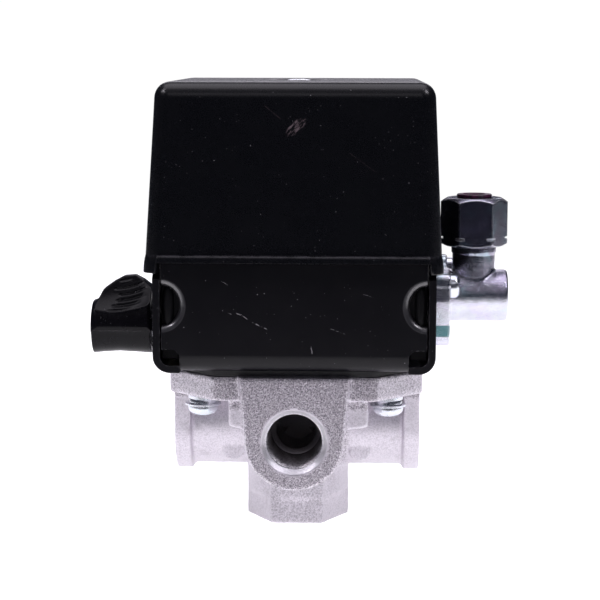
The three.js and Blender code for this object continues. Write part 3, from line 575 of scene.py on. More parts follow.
def surface(name, field, low, high, step, relax=3):
    """Closed quad mesh of field = 0 by surface nets, settled onto the true surface."""
    low, high = np.array(low, float), np.array(high, float)
    grid = sample_grid(field, low, high, step)
    active, cells, points = net_points(grid)
    quads = net_quads(grid, active, len(cells))
    verts = low + points * step
    tetra = np.array([(1, -1, -1), (-1, -1, 1), (-1, 1, -1), (1, 1, 1)], float)

    def project(verts, times=1):
        probe = step * 0.12
        for _ in range(times):
            values = [field(verts + corner * probe) for corner in tetra]
            gradient = sum(a[:, None] * corner for a, corner in zip(values, tetra)) / (4 * probe)
            distance = sum(values) / 4
            squared = (gradient * gradient).sum(1)
            shift = distance[:, None] * gradient / np.maximum(squared, 0.05)[:, None]
            length = np.linalg.norm(shift, axis=1)
            shift *= np.minimum(1, step * 0.5 / np.maximum(length, 1e-9))[:, None]
            verts = verts - shift
        return verts

    verts = project(verts)
    pairs = np.concatenate([quads[:, [k, (k + 1) % 4]] for k in range(4)])
    pairs = np.concatenate([pairs, pairs[:, ::-1]])
    start, end = pairs.T
    number = np.bincount(start, minlength=len(verts))[:, None]
    for _ in range(relax):  # even out the quads along the surface
        total = [np.bincount(start, weights=verts[end, i], minlength=len(verts)) for i in range(3)]
        verts = project(verts + 0.5 * (np.stack(total, 1) / number - verts))
    verts = project(verts, 2)

    mesh = bpy.data.meshes.new(name)
    mesh.vertices.add(len(verts))
    mesh.vertices.foreach_set("co", np.asarray(verts, np.float32).ravel())
    mesh.loops.add(quads.size)
    mesh.loops.foreach_set("vertex_index", quads.astype(np.int32).ravel())
    mesh.polygons.add(len(quads))
    mesh.polygons.foreach_set("loop_start", np.arange(0, quads.size, 4, dtype=np.int32))
    mesh.update(calc_edges=True)
    mesh.validate()
    return link(mesh, name)


# ==== shader nodes ================================================================================
# The node functions add to the tree opened last. Coordinates are millimetres at rest.
class Signal:
    """A shader output; arithmetic on it adds math nodes."""

    def __init__(self, socket):
        self.socket = socket

    def __add__(self, other):
        return calc("ADD", self, other)

    def __sub__(self, other):
        return calc("SUBTRACT", self, other)

    def __rsub__(self, other):
        return calc("SUBTRACT", other, self)

    def __mul__(self, other):
        return calc("MULTIPLY", self, other)

    def __pow__(self, other):
        return calc("POWER", self, other)

    def __abs__(self):
        return calc("ABSOLUTE", self)

    def __lt__(self, other):
        return calc("LESS_THAN", self, other)

    def __gt__(self, other):
        return calc("GREATER_THAN", self, other)

    def ramp(self, off, on):
        """Smooth step, 0 at off and 1 at on; on may be the smaller."""
        inputs = {"Value": self, "From Min": off, "From Max": on}
        return node("MapRange", inputs, interpolation_type="SMOOTHSTEP")


def plug(socket, value):
    if isinstance(value, Signal):
        tree.links.new(value.socket, socket)
    elif isinstance(value, tuple) and socket.type == "RGBA":
        socket.default_value = (*value, 1)
    else:
        socket.default_value = value


def node(kind, inputs=(), output=0, **settings):
    """Adds a node, fills its inputs by name or index, and returns one of its outputs."""
    new = tree.nodes.new("ShaderNode" + kind)
    for name, value in settings.items():
        setattr(new, name, value)
    for key, value in dict(inputs).items():
        plug(new.inputs[key], value)
    return Signal(new.outputs[output])


def open_tree(owner):
    global tree
    owner.use_nodes = True
    tree = owner.node_tree


def begin(name):
    """Starts a material with its coordinates in millimetres."""
    global material, position
    material = bpy.data.materials.new(name)
    open_tree(material)
    tree.nodes.clear()
    coords = node("TexCoord", output="Object")
    position = node("VectorMath", {0: coords, "Scale": 1000.0}, operation="SCALE")


def finish(color, rough, normal, metal=0.0, **more):
    inputs = {"Base Color": color, "Roughness": rough, "Metallic": metal, "Normal": normal}
    shader = node("BsdfPrincipled", {**inputs, **more})
    plug(tree.nodes.new("ShaderNodeOutputMaterial").inputs[0], shader)
    return material


def calc(operation, *operands):
    return node("Math", enumerate(operands), operation=operation)


def maximum(a, b):
    return calc("MAXIMUM", a, b)


def minimum(a, b):
    return calc("MINIMUM", a, b)


def mix(factor, a, b):
    """Colour a where factor is 0, b where it is 1."""
    return node("Mix", {0: factor, 6: a, 7: b}, output=2, data_type="RGBA")


def lerp(factor, a, b):
    """Number a where factor is 0, b where it is 1."""
    return node("Mix", {0: factor, 2: a, 3: b}, data_type="FLOAT")


def noise(scale, detail=3, rough=0.55, distort=0.0, turned=None, stretch=None):
    """Fractal noise; its coordinates may be turned about Y (degrees) and then stretched."""
    coords = position
    if turned:
        coords = node("Mapping", {"Vector": coords, "Rotation": (0, radians(turned), 0)})
    if stretch:
        coords = node("VectorMath", {0: coords, 1: stretch}, operation="MULTIPLY")
    inputs = {"Vector": coords, "Scale": scale, "Detail": detail, "Roughness": rough}
    return node("TexNoise", {**inputs, "Distortion": distort})


def cells(scale):
    """Distance to scattered points."""
    return node("TexVoronoi", {"Vector": position, "Scale": scale}, output="Distance")


def bump(height, depth, strength, over=None):
    inputs = {"Height": height, "Distance": depth * MM, "Strength": strength}
    if over is not None:
        inputs["Normal"] = over
    return node("Bump", inputs)


def separate(vector):
    return [Signal(socket) for socket in node("SeparateXYZ", {0: vector}).socket.node.outputs]


def edge(radius):
    """Above 0 on edges within radius, 0 on faces."""
    rounded = node("Bevel", {"Radius": radius * MM}, samples=3)
    true = node("NewGeometry", output="Normal")
    dot = node("VectorMath", {0: rounded, 1: true}, output="Value", operation="DOT_PRODUCT")
    return (1.0 - dot) * 6.0


def worn_edge(radius, scale, patches, detail=4, rough=0.7, fade=(0.2, 1.0)):
    """Edges rubbed in patches; fade and patches are (off, on) of the edge and of the noise."""
    return edge(radius).ramp(*fade) * noise(scale, detail, rough).ramp(*patches)


def oval(across, up, half_across, half_up):
    """Squared distance from an oval's centre, 1 on its outline."""
    return abs(across * (1 / half_across)) ** 2.0 + abs(up * (1 / half_up)) ** 2.0


def scratch(axes, start, end, width, y_max, wobble=0.25):
    """Thin line from start to end, both (x, z), on faces in front of y_max."""
    x, y, z = axes
    dx, dz = end[0] - start[0], end[1] - start[1]
    length = hypot(dx, dz)
    dx, dz = dx / length, dz / length
    sway = (noise(scale=0.9, detail=2) - 0.5) * wobble
    from_x, from_z = x - start[0], z - start[1]
    along = from_x * dx + from_z * dz
    across = abs(from_x * dz - from_z * dx + sway)
    line = across.ramp(off=width, on=width * 0.35)
    ends = along.ramp(off=-0.2, on=0.3) * along.ramp(off=length + 0.2, on=length - 0.3)
    broken = noise(scale=1.6, rough=0.7).ramp(off=0.4, on=0.58)
    return (line * ends) * ((y < y_max) * broken)


def dust(color, rough, amount, density):
    """Sparse tiny specks on a dark surface."""
    radius = 0.13 * density
    spot = cells(density).ramp(off=radius, on=radius * 0.45)
    where = noise(scale=0.19, detail=2).ramp(off=0.46, on=0.56)
    fine_density = density * 2.3
    radius = 0.10 * fine_density
    fine = cells(fine_density).ramp(off=radius, on=radius * 0.4)
    fine = fine * noise(scale=0.31, detail=2, rough=0.5).ramp(off=0.50, on=0.60)
    specks = maximum(spot * where, fine * 0.6) * amount
    return mix(specks, color, (0.36, 0.35, 0.37)), lerp(specks, rough, 0.8)


# ==== materials ===================================================================================
def cover_look():
    begin("moulded_black_satin")
    axes = x, y, z = separate(position)
    color = mix(noise(scale=0.06, detail=2), (0.0022, 0.0025, 0.0036), (0.0032, 0.0034, 0.0048))
    grain = noise(scale=5.5, detail=2, rough=0.6)
    rough = lerp(noise(scale=0.12), 0.24, 0.32) + (grain - 0.5) * 0.12
    # rubbed oval high on the front face, made of short slanting strokes
    from_x, from_z = x - 0.3, z - 93.5
    c, s = cos(radians(42)), sin(radians(42))
    spot = oval(from_x * c + from_z * s, from_z * c - from_x * s, 2.7, 1.35)
    ragged = (noise(scale=1.1) - 0.5) * 1.3
    strokes = noise(scale=1.0, rough=0.7, distort=0.25, turned=48, stretch=(0.75, 1.0, 3.6))
    scuff = (spot + ragged).ramp(off=1.05, on=0.5) * strokes.ramp(off=0.47, on=0.62)
    scuff = scuff * (y < -30.0)
    faint = scratch(axes, (-6.4, 98.1), (-3.0, 95.3), width=0.08, y_max=-30.0) * 0.35
    marks = maximum(scuff, faint)
    faint = scratch(axes, (12.0, 88.0), (17.5, 84.0), width=0.05, y_max=-30.0) * 0.4
    marks = maximum(marks, faint)
    rub = worn_edge(radius=0.7, scale=0.9, patches=(0.42, 0.66), fade=(0.25, 1.0))
    color = mix(rub * 0.35, color, (0.045, 0.044, 0.05))
    color = mix(marks * 0.85, color, (0.20, 0.15, 0.165))
    # painted highlight: a pale line along the lip, front and rear, for the light its top edge catches
    lip = abs(z - 65.5).ramp(off=0.34, on=0.12) * (abs(y) > 33.3)
    lip = lip * noise(scale=0.5, rough=0.6).ramp(off=0.36, on=0.56)
    color = mix(lip * 0.6, color, (0.045, 0.043, 0.05))
    rough = lerp(marks * 0.8, rough, 0.7)
    color, rough = dust(color, rough, amount=0.95, density=0.42)
    normal = bump(grain, depth=0.02, strength=0.55)
    normal = bump(noise(scale=0.16, detail=2), depth=0.25, strength=0.10, over=normal)
    return finish(color, rough, normal, **{"Specular IOR Level": 0.38})


# (start, end, width) of the scratches on the frame's front, ends in (x, z)
FRAME_SCRATCHES = (
    ((-14.4, 52.9), (-13.7, 52.6), 0.10), ((-12.7, 52.9), (-11.6, 52.5), 0.13),
    ((-11.9, 52.7), (-10.2, 51.6), 0.10), ((-9.1, 50.9), (-5.9, 49.3), 0.14),
    ((3.8, 45.6), (4.0, 44.0), 0.12), ((-15.9, 59.9), (-14.5, 59.1), 0.06),
    ((15.2, 57.2), (17.4, 56.5), 0.05), ((8.0, 49.5), (11.2, 48.4), 0.05),
)


def frame_look():
    begin("black_painted_steel")
    axes = x, y, z = separate(position)
    color = mix(noise(scale=0.08, detail=2), (0.0018, 0.0017, 0.0032), (0.0030, 0.0027, 0.0046))
    peel = noise(scale=1.3, detail=2, rough=0.5)
    rough = lerp(noise(scale=0.2, detail=4, rough=0.6), 0.30, 0.42)
    chip = worn_edge(
        radius=0.45, scale=1.2, patches=(0.5, 0.64), detail=5, rough=0.75, fade=(0.2, 0.95)
    )
    lines = None
    for start, end, width in FRAME_SCRATCHES:
        line = scratch(axes, start, end, width, y_max=-31.0, wobble=0.35)
        lines = line if lines is None else maximum(lines, line)
    scuffs = noise(scale=0.55, detail=5, rough=0.8, distort=0.4, stretch=(1, 1, 3.2))
    scuffs = scuffs.ramp(off=0.70, on=0.78) * 0.35
    bare = maximum(chip * 0.55, maximum(lines * 0.95, scuffs * 0.3))
    color = mix(bare, color, (0.30, 0.29, 0.31))
    rough = lerp(bare, rough, 0.5)
    color, rough = dust(color, rough, amount=0.9, density=0.42)
    normal = bump(peel, depth=0.03, strength=0.30)
    normal = bump(bare, depth=0.02, strength=-0.4, over=normal)
    # painted highlight where the sheet is drawn round the corner openings: paler colour, stronger
    # specular and a clear coat, for the light the rolled rims catch
    mouth = oval(
        abs(x) - OPENING_X, z - OPENING_Z, OPENING_A + OPENING_ROUND, OPENING_B + OPENING_ROUND
    )
    mouth = mouth.ramp(off=1.06, on=0.98) * abs(y).ramp(off=31.75, on=31.95)
    mouth = mouth * abs(x).ramp(off=29.12, on=29.0)
    color = mix(mouth * 0.8, color, (0.016, 0.015, 0.018))
    specular = lerp(mouth, 0.25, 1.0)
    coat = {"Coat Weight": mouth, "Coat Roughness": 0.22}
    return finish(color, rough, normal, **{"Specular IOR Level": specular}, **coat)


def cast_look():
    begin("sand_blasted_cast_aluminium")
    big = noise(scale=0.11)
    grain = noise(scale=2.1, rough=0.8)
    fine = noise(scale=3.9, detail=2, rough=0.7)
    pits = cells(scale=0.8).ramp(off=0.17, on=0.05)
    x, _, z = separate(position)
    front = abs(separate(node("NewGeometry", output="True Normal"))[1])
    # the blasting shows most on faces turned to the front, less on the foot and the flat middle
    facing = lerp(front.ramp(off=0.25, on=0.97), 0.26, 1.0)
    facing = facing * lerp(z.ramp(off=10.5, on=13.5), 0.55, 1.0)
    both = grain * 0.5 + fine * 0.5
    flat = maximum(abs(x).ramp(off=12.4, on=11.0), z.ramp(off=29.5, on=31.0))
    facing = facing * lerp(flat, 0.30, 1.0)
    speck = both.ramp(off=0.53, on=0.42) * facing
    bright = both.ramp(off=0.51, on=0.61) * facing
    # painted shade: faces turned straight to the front or rear, in the flat middle and on the flange
    # but not on the foot, are painted darker
    flat = (flat * front.ramp(off=0.80, on=0.99)) * z.ramp(off=10.5, on=13.5)
    color = mix(big, (0.70, 0.66, 0.72), (0.82, 0.785, 0.84))
    color = mix(flat * 0.95, color, (0.49, 0.455, 0.50))
    color = mix(z.ramp(off=13.5, on=10.5) * 0.45, color, (0.56, 0.53, 0.58))
    color = mix(speck * 0.85, color, (0.15, 0.135, 0.16))
    color = mix(bright * 0.62, color, (0.98, 0.96, 0.99))
    stain = noise(scale=0.21, detail=5, rough=0.65, distort=0.6).ramp(off=0.57, on=0.72)
    color = mix(stain * 0.35, color, (0.42, 0.39, 0.42))
    dark = pits * noise(scale=0.3, detail=2).ramp(off=0.5, on=0.6)
    color = mix(dark * 0.5, color, (0.25, 0.23, 0.24))
    rub = worn_edge(radius=0.8, scale=0.8, patches=(0.4, 0.6), detail=3)
    color = mix(rub * 0.6, color, (0.95, 0.94, 0.97))
    rough = lerp(grain, 0.34, 0.56)
    normal = bump(grain * facing, depth=0.16, strength=0.8)
    normal = bump(fine * facing, depth=0.07, strength=0.7, over=normal)
    normal = bump(grain, depth=0.05, strength=0.3, over=normal)
    normal = bump(pits, depth=0.10, strength=-0.35, over=normal)
    return finish(color, rough, normal, metal=0.85)


def machined_look():
    """Cut metal inside the ports, with painted shade that darkens it with depth."""
    begin("machined_aluminium")
    x, y, z = separate(position)
    depth = minimum(minimum(y + 31.0, SIDE_X - abs(x)), z)
    # painted shade: darker deeper in the bores
    depth_shade = depth.ramp(off=1.0, on=12.0)
    rings = noise(scale=2.6, detail=4, rough=0.75)
    color = mix(rings, (0.62, 0.60, 0.64), (0.92, 0.91, 0.94))
    # painted shade: dark lines in the thread, standing for shade in its grooves, placed by noise
    grooves = rings.ramp(off=0.50, on=0.38) * depth.ramp(off=0.7, on=1.4)
    color = mix(grooves, color, (0.12, 0.11, 0.13))
    color = mix(depth_shade**0.7, color, (0.27, 0.25, 0.26))
    # the very edge of a mouth is still as cast
    color = mix(depth.ramp(off=0.14, on=0.02), color, (0.60, 0.565, 0.62))
    rough = lerp(noise(scale=1.3, detail=4, rough=0.7), 0.26, 0.46)
    return finish(color, rough, bump(rings, depth=0.12, strength=0.8), metal=0.95)


def zinc_look():
    begin("bright_zinc_plate")
    grain = noise(scale=4.2, rough=0.7)
    patch = noise(scale=0.35, detail=4, rough=0.6)
    color = mix(patch, (0.70, 0.73, 0.77), (0.84, 0.86, 0.90))
    hue = noise(scale=0.22, detail=2, rough=0.5, distort=1.2)
    color = mix(hue.ramp(off=0.52, on=0.7) * 0.35, color, (0.62, 0.60, 0.76))
    color = mix(hue.ramp(off=0.45, on=0.3) * 0.30, color, (0.62, 0.76, 0.80))
    rub = worn_edge(radius=0.35, scale=1.5, patches=(0.38, 0.6), detail=3, fade=(0.2, 0.9))
    color = mix(rub * 0.5, color, (0.93, 0.93, 0.95))
    color = mix(grain.ramp(off=0.40, on=0.26) * 0.5, color, (0.30, 0.31, 0.36))
    rough = lerp(noise(scale=0.9, detail=4, rough=0.7), 0.16, 0.34)
    normal = bump(grain, depth=0.03, strength=0.6)
    normal = bump(noise(scale=0.8, detail=2), depth=0.05, strength=0.2, over=normal)
    return finish(color, rough, normal, metal=1.0)


def valve_look():
    """Tumbled, plated valve body: glossy, with fine grains and hues of the passivation."""
    begin("tumbled_zinc_plate")
    x, y, z = separate(position)
    grain = noise(scale=2.9, detail=5, rough=0.8)
    fine = noise(scale=5.5, rough=0.7)
    color = mix(noise(scale=0.3), (0.58, 0.59, 0.65), (0.76, 0.78, 0.84))
    # painted shade: darker from z 60.5 to 63.5 upwards, over the nut
    nut = z.ramp(off=60.5, on=63.5)
    color = mix(nut * 0.62, color, (0.16, 0.16, 0.21))
    # painted shade: darker above the middle of the body, to the right of the plate
    upper = z.ramp(off=53.4, on=54.6) * (x > 35.4)
    upper = upper * lerp(grain.ramp(off=0.44, on=0.60), 0.85, 0.30)
    color = mix(upper, color, (0.24, 0.22, 0.30))
    hue = noise(scale=0.16, detail=2, rough=0.5, distort=0.6)
    color = mix(hue.ramp(off=0.50, on=0.68) * 0.28, color, (0.66, 0.58, 0.80))
    color = mix(hue.ramp(off=0.47, on=0.32) * 0.38, color, (0.46, 0.72, 0.75))
    color = mix(grain.ramp(off=0.46, on=0.34) * 0.35, color, (0.22, 0.23, 0.29))
    color = mix(grain.ramp(off=0.58, on=0.68) * 0.5, color, (0.97, 0.98, 1.0))
    # greenish patch near the foot of the plate
    patch = (z.ramp(off=44.5, on=44.8) * z.ramp(off=47.5, on=47.2)) * (y < -10.5)
    patch = patch * lerp(fine.ramp(off=0.40, on=0.60), 0.97, 0.80)
    color = mix(patch, color, (0.03, 0.15, 0.155))
    # edges rubbed bright: partly wear, partly a painted highlight along the corners of the nut
    rub = worn_edge(radius=0.7, scale=1.2, patches=(0.25, 0.5), detail=3, fade=(0.10, 0.7))
    color = mix(rub * 0.9, color, (0.98, 0.98, 0.99))
    rough = lerp(edge(radius=0.45).ramp(off=0.1, on=0.9), lerp(grain, 0.07, 0.20), 0.50)
    normal = bump(grain * lerp(nut, 1.0, 0.35), depth=0.06, strength=0.9)
    normal = bump(fine, depth=0.035, strength=0.9, over=normal)
    return finish(color, rough, normal, metal=1.0)


def yellow_look():
    begin("yellow_passivated_zinc")
    hue = noise(scale=0.25, rough=0.6, distort=1.5)
    color = mix(hue, (0.74, 0.60, 0.26), (0.80, 0.70, 0.42))
    color = mix(hue.ramp(off=0.55, on=0.7) * 0.5, color, (0.72, 0.55, 0.50))
    rough = lerp(noise(scale=1.1, detail=4, rough=0.7), 0.2, 0.38)
    normal = bump(noise(scale=4.0, rough=0.7), depth=0.03, strength=0.5)
    return finish(color, rough, normal, metal=1.0)


def brass_look():
    begin("brass")
    color = mix(noise(scale=0.3, detail=4), (0.78, 0.58, 0.24), (0.86, 0.68, 0.34))
    stain = noise(scale=0.9, detail=4, rough=0.7).ramp(off=0.56, on=0.7)
    color = mix(stain * 0.45, color, (0.42, 0.28, 0.12))
    rough = lerp(noise(scale=1.2, detail=4, rough=0.7), 0.18, 0.36)
    lines = noise(scale=0.9, rough=0.6, stretch=(1, 1, 12))
    return finish(color, rough, bump(lines, depth=0.02, strength=0.5), metal=1.0)


def silver_look():
    begin("silver_plated_copper")
    color = mix(noise(scale=0.5, detail=4), (0.80, 0.79, 0.76), (0.92, 0.90, 0.86))
    stain = noise(scale=0.7, detail=4, rough=0.7).ramp(off=0.58, on=0.7)
    color = mix(stain * 0.4, color, (0.48, 0.40, 0.30))
    rough = lerp(noise(scale=1.4, detail=4, rough=0.7), 0.2, 0.36)
    return finish(color, rough, bump(noise(scale=3.0), depth=0.02, strength=0.5), metal=1.0)


def spring_look():
    begin("spring_steel")
    color = mix(noise(scale=0.5, detail=4), (0.46, 0.47, 0.49), (0.62, 0.63, 0.65))
    stain = noise(scale=0.9, detail=4, rough=0.7).ramp(off=0.58, on=0.7)
    color = mix(stain * 0.5, color, (0.24, 0.20, 0.18))
    rough = lerp(noise(scale=1.6, detail=4, rough=0.7), 0.22, 0.42)
    return finish(color, rough, bump(noise(scale=5.0), depth=0.02, strength=0.5), metal=1.0)


def green_look():
    begin("green_passivated_screw")
    color = mix(noise(scale=0.6, detail=4), (0.06, 0.26, 0.11), (0.12, 0.38, 0.17))
    rub = worn_edge(radius=0.3, scale=1.8, patches=(0.4, 0.6), detail=3, fade=(0.2, 0.9))
    color = mix(rub, color, (0.62, 0.64, 0.62))
    rough = lerp(noise(scale=1.4, detail=4, rough=0.7), 0.24, 0.4)
    return finish(color, rough, bump(noise(scale=5.0), depth=0.02, strength=0.5), metal=0.85)


def knob_look():
    begin("moulded_black_knob")
    _, y, z = separate(position)
    color = mix(noise(scale=0.12), (0.0022, 0.0020, 0.0032), (0.0036, 0.0033, 0.0050))
    grain = noise(scale=6.0, rough=0.6)
    rough = lerp(noise(scale=0.35, detail=4, rough=0.6), 0.22, 0.31)
    rub = worn_edge(radius=0.35, scale=1.6, patches=(0.44, 0.62))
    color = mix(rub * 0.5, color, (0.07, 0.068, 0.075))
    # flash line of the mould
    seam = abs(z - 44.75).ramp(off=0.13, on=0.05)
    seam = seam * noise(scale=0.9, rough=0.7).ramp(off=0.4, on=0.55)
    seam = seam * (y < 0)
    color = mix(seam * 0.5, color, (0.05, 0.045, 0.05))
    color, rough = dust(color, rough, amount=0.5, density=0.5)
    normal = bump(grain, depth=0.02, strength=0.4)
    normal = bump(seam, depth=0.06, strength=0.6, over=normal)
    return finish(color, rough, normal, **{"Specular IOR Level": 0.16})


def nylon_look(name, dark, light, tint=None):
    begin(name)
    color = mix(noise(scale=0.3), dark, light)
    if tint:
        color = mix(noise(scale=0.5, rough=0.6).ramp(off=0.42, on=0.62), color, tint)
    rub = worn_edge(radius=0.3, scale=1.6, patches=(0.42, 0.6))
    color = mix(rub * 0.5, color, (0.08, 0.08, 0.085))
    rough = lerp(noise(scale=0.8, detail=4), 0.26, 0.42)
    return finish(color, rough, bump(noise(scale=5.0), depth=0.02, strength=0.5))


def fibre_look():
    begin("black_fibre_board")
    tone = noise(scale=0.6, detail=4, rough=0.7)
    color = mix(tone, (0.0018, 0.0018, 0.0024), (0.0042, 0.0040, 0.0050))
    rub = worn_edge(radius=0.3, scale=1.6, patches=(0.46, 0.62))
    color = mix(rub * 0.4, color, (0.04, 0.038, 0.042))
    rough = lerp(noise(scale=0.8, detail=4), 0.45, 0.62)
    normal = bump(noise(scale=5.0), depth=0.02, strength=0.5)
    return finish(color, rough, normal, **{"Specular IOR Level": 0.12})


def phenolic_look():
    begin("brown_phenolic")
    tone = noise(scale=0.5, detail=5, rough=0.7)
    color = mix(tone, (0.020, 0.013, 0.009), (0.045, 0.030, 0.021))
    color = mix(cells(scale=2.2).ramp(off=0.16, on=0.08) * 0.5, color, (0.09, 0.065, 0.045))
    rub = worn_edge(radius=0.35, scale=1.4, patches=(0.42, 0.62))
    color = mix(rub * 0.6, color, (0.12, 0.09, 0.07))
    rough = lerp(noise(scale=0.9, detail=4), 0.34, 0.52)
    return finish(color, rough, bump(noise(scale=4.0), depth=0.03, strength=0.5))


def carrier_look():
    begin("ivory_nylon")
    color = mix(noise(scale=0.3, detail=4), (0.62, 0.58, 0.46), (0.74, 0.70, 0.58))
    stain = noise(scale=0.8, detail=5, rough=0.7).ramp(off=0.6, on=0.75)
    color = mix(stain * 0.4, color, (0.36, 0.32, 0.25))
    rough = lerp(noise(scale=0.9, detail=4), 0.36, 0.5)
    return finish(color, rough, bump(noise(scale=5.0), depth=0.02, strength=0.5))


def rubber_look():
    begin("black_rubber")
    color = mix(noise(scale=0.5, detail=4), (0.010, 0.010, 0.011), (0.022, 0.022, 0.023))
    bloom = noise(scale=0.7, detail=5, rough=0.7).ramp(off=0.56, on=0.74)
    color = mix(bloom * 0.25, color, (0.06, 0.06, 0.06))
    rough = lerp(noise(scale=1.0, detail=4), 0.55, 0.78)
    return finish(color, rough, bump(noise(scale=3.5, detail=4), depth=0.05, strength=0.6))


LOOK = {
    "cover": cover_look(),
    "frame": frame_look(),
    "cast": cast_look(),
    "machined": machined_look(),
    "zinc": zinc_look(),
    "valve_zinc": valve_look(),
    "yellow_zinc": yellow_look(),
    "brass": brass_look(),
    "silver": silver_look(),
    "spring": spring_look(),
    "green": green_look(),
    "knob": knob_look(),
    "dark_plastic": nylon_look("dark_nylon", (0.008, 0.009, 0.010), (0.016, 0.017, 0.019)),
    "sleeve": nylon_look(
        "purple_black_nylon", (0.010, 0.005, 0.012), (0.03, 0.008, 0.028), (0.09, 0.010, 0.055)
    ),
    "fibre": fibre_look(),
    "phenolic": phenolic_look(),
    "carrier": carrier_look(),
    "rubber": rubber_look(),
}


# ==== finishing a piece ===========================================================================
def soften(part, angle):
    """Smooth shading with hard edges above angle."""
    with edited(part.data) as edit:
        for face in edit.faces:
            face.smooth = True
        for line in edit.edges:
            open_edge = len(line.link_faces) != 2
            line.smooth = open_edge or line.calc_face_angle(0) <= radians(angle)


def piece(part, replaced, slot, look=None, angle=32, weighted=True, blend=None):
    """Scales to metres, gives the material and the place of the CAD node it replaces.

    look "own" leaves the part's materials; blend is (body, body, start, end) for a part that should
    bend, but only its presence is used: the part then keeps its baked placement and joins no body.
    """
    part.data.transform(Matrix.Scale(MM, 4))
    if look != "own":
        part.data.materials.clear()
        part.data.materials.append(LOOK[look or slot])
    soften(part, angle)
    if weighted:
        add_weighted_normals(part)
        apply_modifiers(part)
    if blend:
        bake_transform(part)
    else:
        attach(part, NODES[replaced]["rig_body"])
    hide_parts(replaced)


def keep(name, look, width, segments=2):
    """A CAD node that stays: rounded edges and a procedural material."""
    part = NODES[name]
    part.data.materials.clear()
    part.data.materials.append(LOOK[look])
    for polygon in part.data.polygons:
        polygon.use_smooth = True
    add_bevel(part, width * MM, segments, 32)
    add_weighted_normals(part)


# ==== cast manifold ===============================================================================
# (x, y) corners of the flange and of the diaphragm sheet on it
FLANGE = [
    (28.8, -18.4), (28.8, 18.4), (18.2, 29.6), (-18.2, 29.6),
    (-28.8, 18.4), (-28.8, -18.4), (-18.2, -29.6), (18.2, -29.6),
]
DIAPHRAGM = [
    (28.5, -18.3), (28.5, 18.3), (18.0, 29.3), (-18.0, 29.3),
    (-28.5, 18.3), (-28.5, -18.3), (-18.0, -29.3), (18.0, -29.3),
]
FLANGE_OUTLINE = round_poly(FLANGE, 2.5, 4)
FOOT = hexagon(20.8, corner=0)
RIB = [(14, 18), (28, 33.5), (14, 33.5)]  # (y, z)


def manifold_field(points):
    x, y, z = points.T
    flange = sdf_slab(sdf_polygon(x, y, FLANGE_OUTLINE), z, 32.6, 38.15, 0.55)
    core = sdf_cylinder(points, 2, (0, 0), 11.0, 6, 34, 0.5)
    front = sdf_slab(sdf_u(x, z, FRONT_Z, 12.3, 11.0, 38.15), y, FRONT_Y, 1, 0.6)
    rear = sdf_slab(sdf_u(x, z, FRONT_Z, 10.6, 9.6, 34.5), y, -1, 15, 0.8)
    tube = sdf_cylinder(points, 0, (0, SIDE_Z), 10.0, -26, 26, 0.3)
    disc = sdf_u(y, z, SIDE_Z, 11.4, 11.2, 34.5)
    discs = np.minimum(
        sdf_slab(disc, x, -SIDE_X, -24.7, 0.55), sdf_slab(disc, x, 24.7, SIDE_X, 0.55)
    )
    foot = sdf_slab(sdf_polygon(x, y, FOOT), z, 0, 18, 0.45)
    # pillars beside the front port; their undersides rise towards the side, as cast draft does
    left = sdf_box(points, (-14.9, -10), (-26.5, -9), (25.4, 34), 0.7)
    right = sdf_box(points, (10, 16.4), (-26.5, -9), (25.4, 34), 0.7)
    left = smooth_max(left, (-(z - 26.3) - (x + 14.9) * 0.25) * 0.97, 0.4)
    right = smooth_max(right, (-(z - 26.3) + (x - 16.4) * 0.18) * 0.98, 0.4)
    back = np.minimum(
        sdf_box(points, (-14.9, -9), (9, 24), (26, 34), 0.8),
        sdf_box(points, (9, 14.9), (9, 24), (26, 34), 0.8),
    )
    rib = sdf_slab(sdf_polygon(y, z, RIB), x, -1.6, 1.6, 0.5)
    # webs between the side bosses and the flange
    webs = [
        (sdf_box(points, span, (-1.7, 1.7), (28, 34), 0.5), 1.5) for span in ((-26, -14), (14, 26))
    ]
    distance = fuse(
        core, (tube, 1.4), (foot, 0.9), (rear, 1.6), (discs, 1.0), (front, 1.4),
        (left, 0.9), (right, 0.9), (smooth_min(back, rib, 1.0), 1.4), *webs, (flange, 1.2),
    )
    # round pads left by the mould's ejector pins
    for pad_x, pad_z in ((14.6, 17.2), (-15.0, 17.2)):
        pad = sdf_cylinder(points, 1, (pad_z, pad_x), 2.5, -9.15, -6, 0.15)
        distance = np.minimum(distance, pad)
    return distance + ripple(points, 0.028, 0.9)


def cut_port(part, matrix, depth, bore_end):
    """Threaded pipe port with its mouth at z = 0, going up into +Z before matrix places it."""
    mouth = [(0, -1.2), (PORT_RADIUS, -1.2), (7.5, 0.0), (7.22, 0.16), (6.95, 0.55)]
    taper = -(0.65 / (depth - 1.0))
    rings, radius_at = thread(
        1.0, depth, 6.85, 0.6, PORT_PITCH, taper=taper, per_turn=10, run_in=0.6
    )
    tail = [
        (5.2, depth + 0.15), (4.5, depth + 0.8), (4.5, bore_end - 2.2),
        (3.4, bore_end - 1.1), (0, bore_end),
    ]
    cut(part, lathe("tool", mouth + rings + tail, 64, matrix, radius_at))


def machined_faces(mesh):
    """1 for every face inside a bore, 0 for the rest."""
    centres = np.zeros(len(mesh.polygons) * 3)
    mesh.polygons.foreach_get("center", centres)
    x, y, z = centres.reshape(-1, 3).T
    inside = PORT_RADIUS + 0.04
    front = (np.hypot(x, z - FRONT_Z) < inside) & (y < -1)
    side = (np.hypot(y, z - SIDE_Z) < inside) & (np.abs(x) > 5)
    low = (np.hypot(x, y) < inside) & (z < 36)
    top = (np.hypot(x, y) < 12.7) & (z > 35.1)
    screws = (np.hypot(np.abs(x) - 21, np.abs(y) - 20.5) < 2.8) & (z > 32)
    return (front | side | low | top | screws).astype(np.int32)


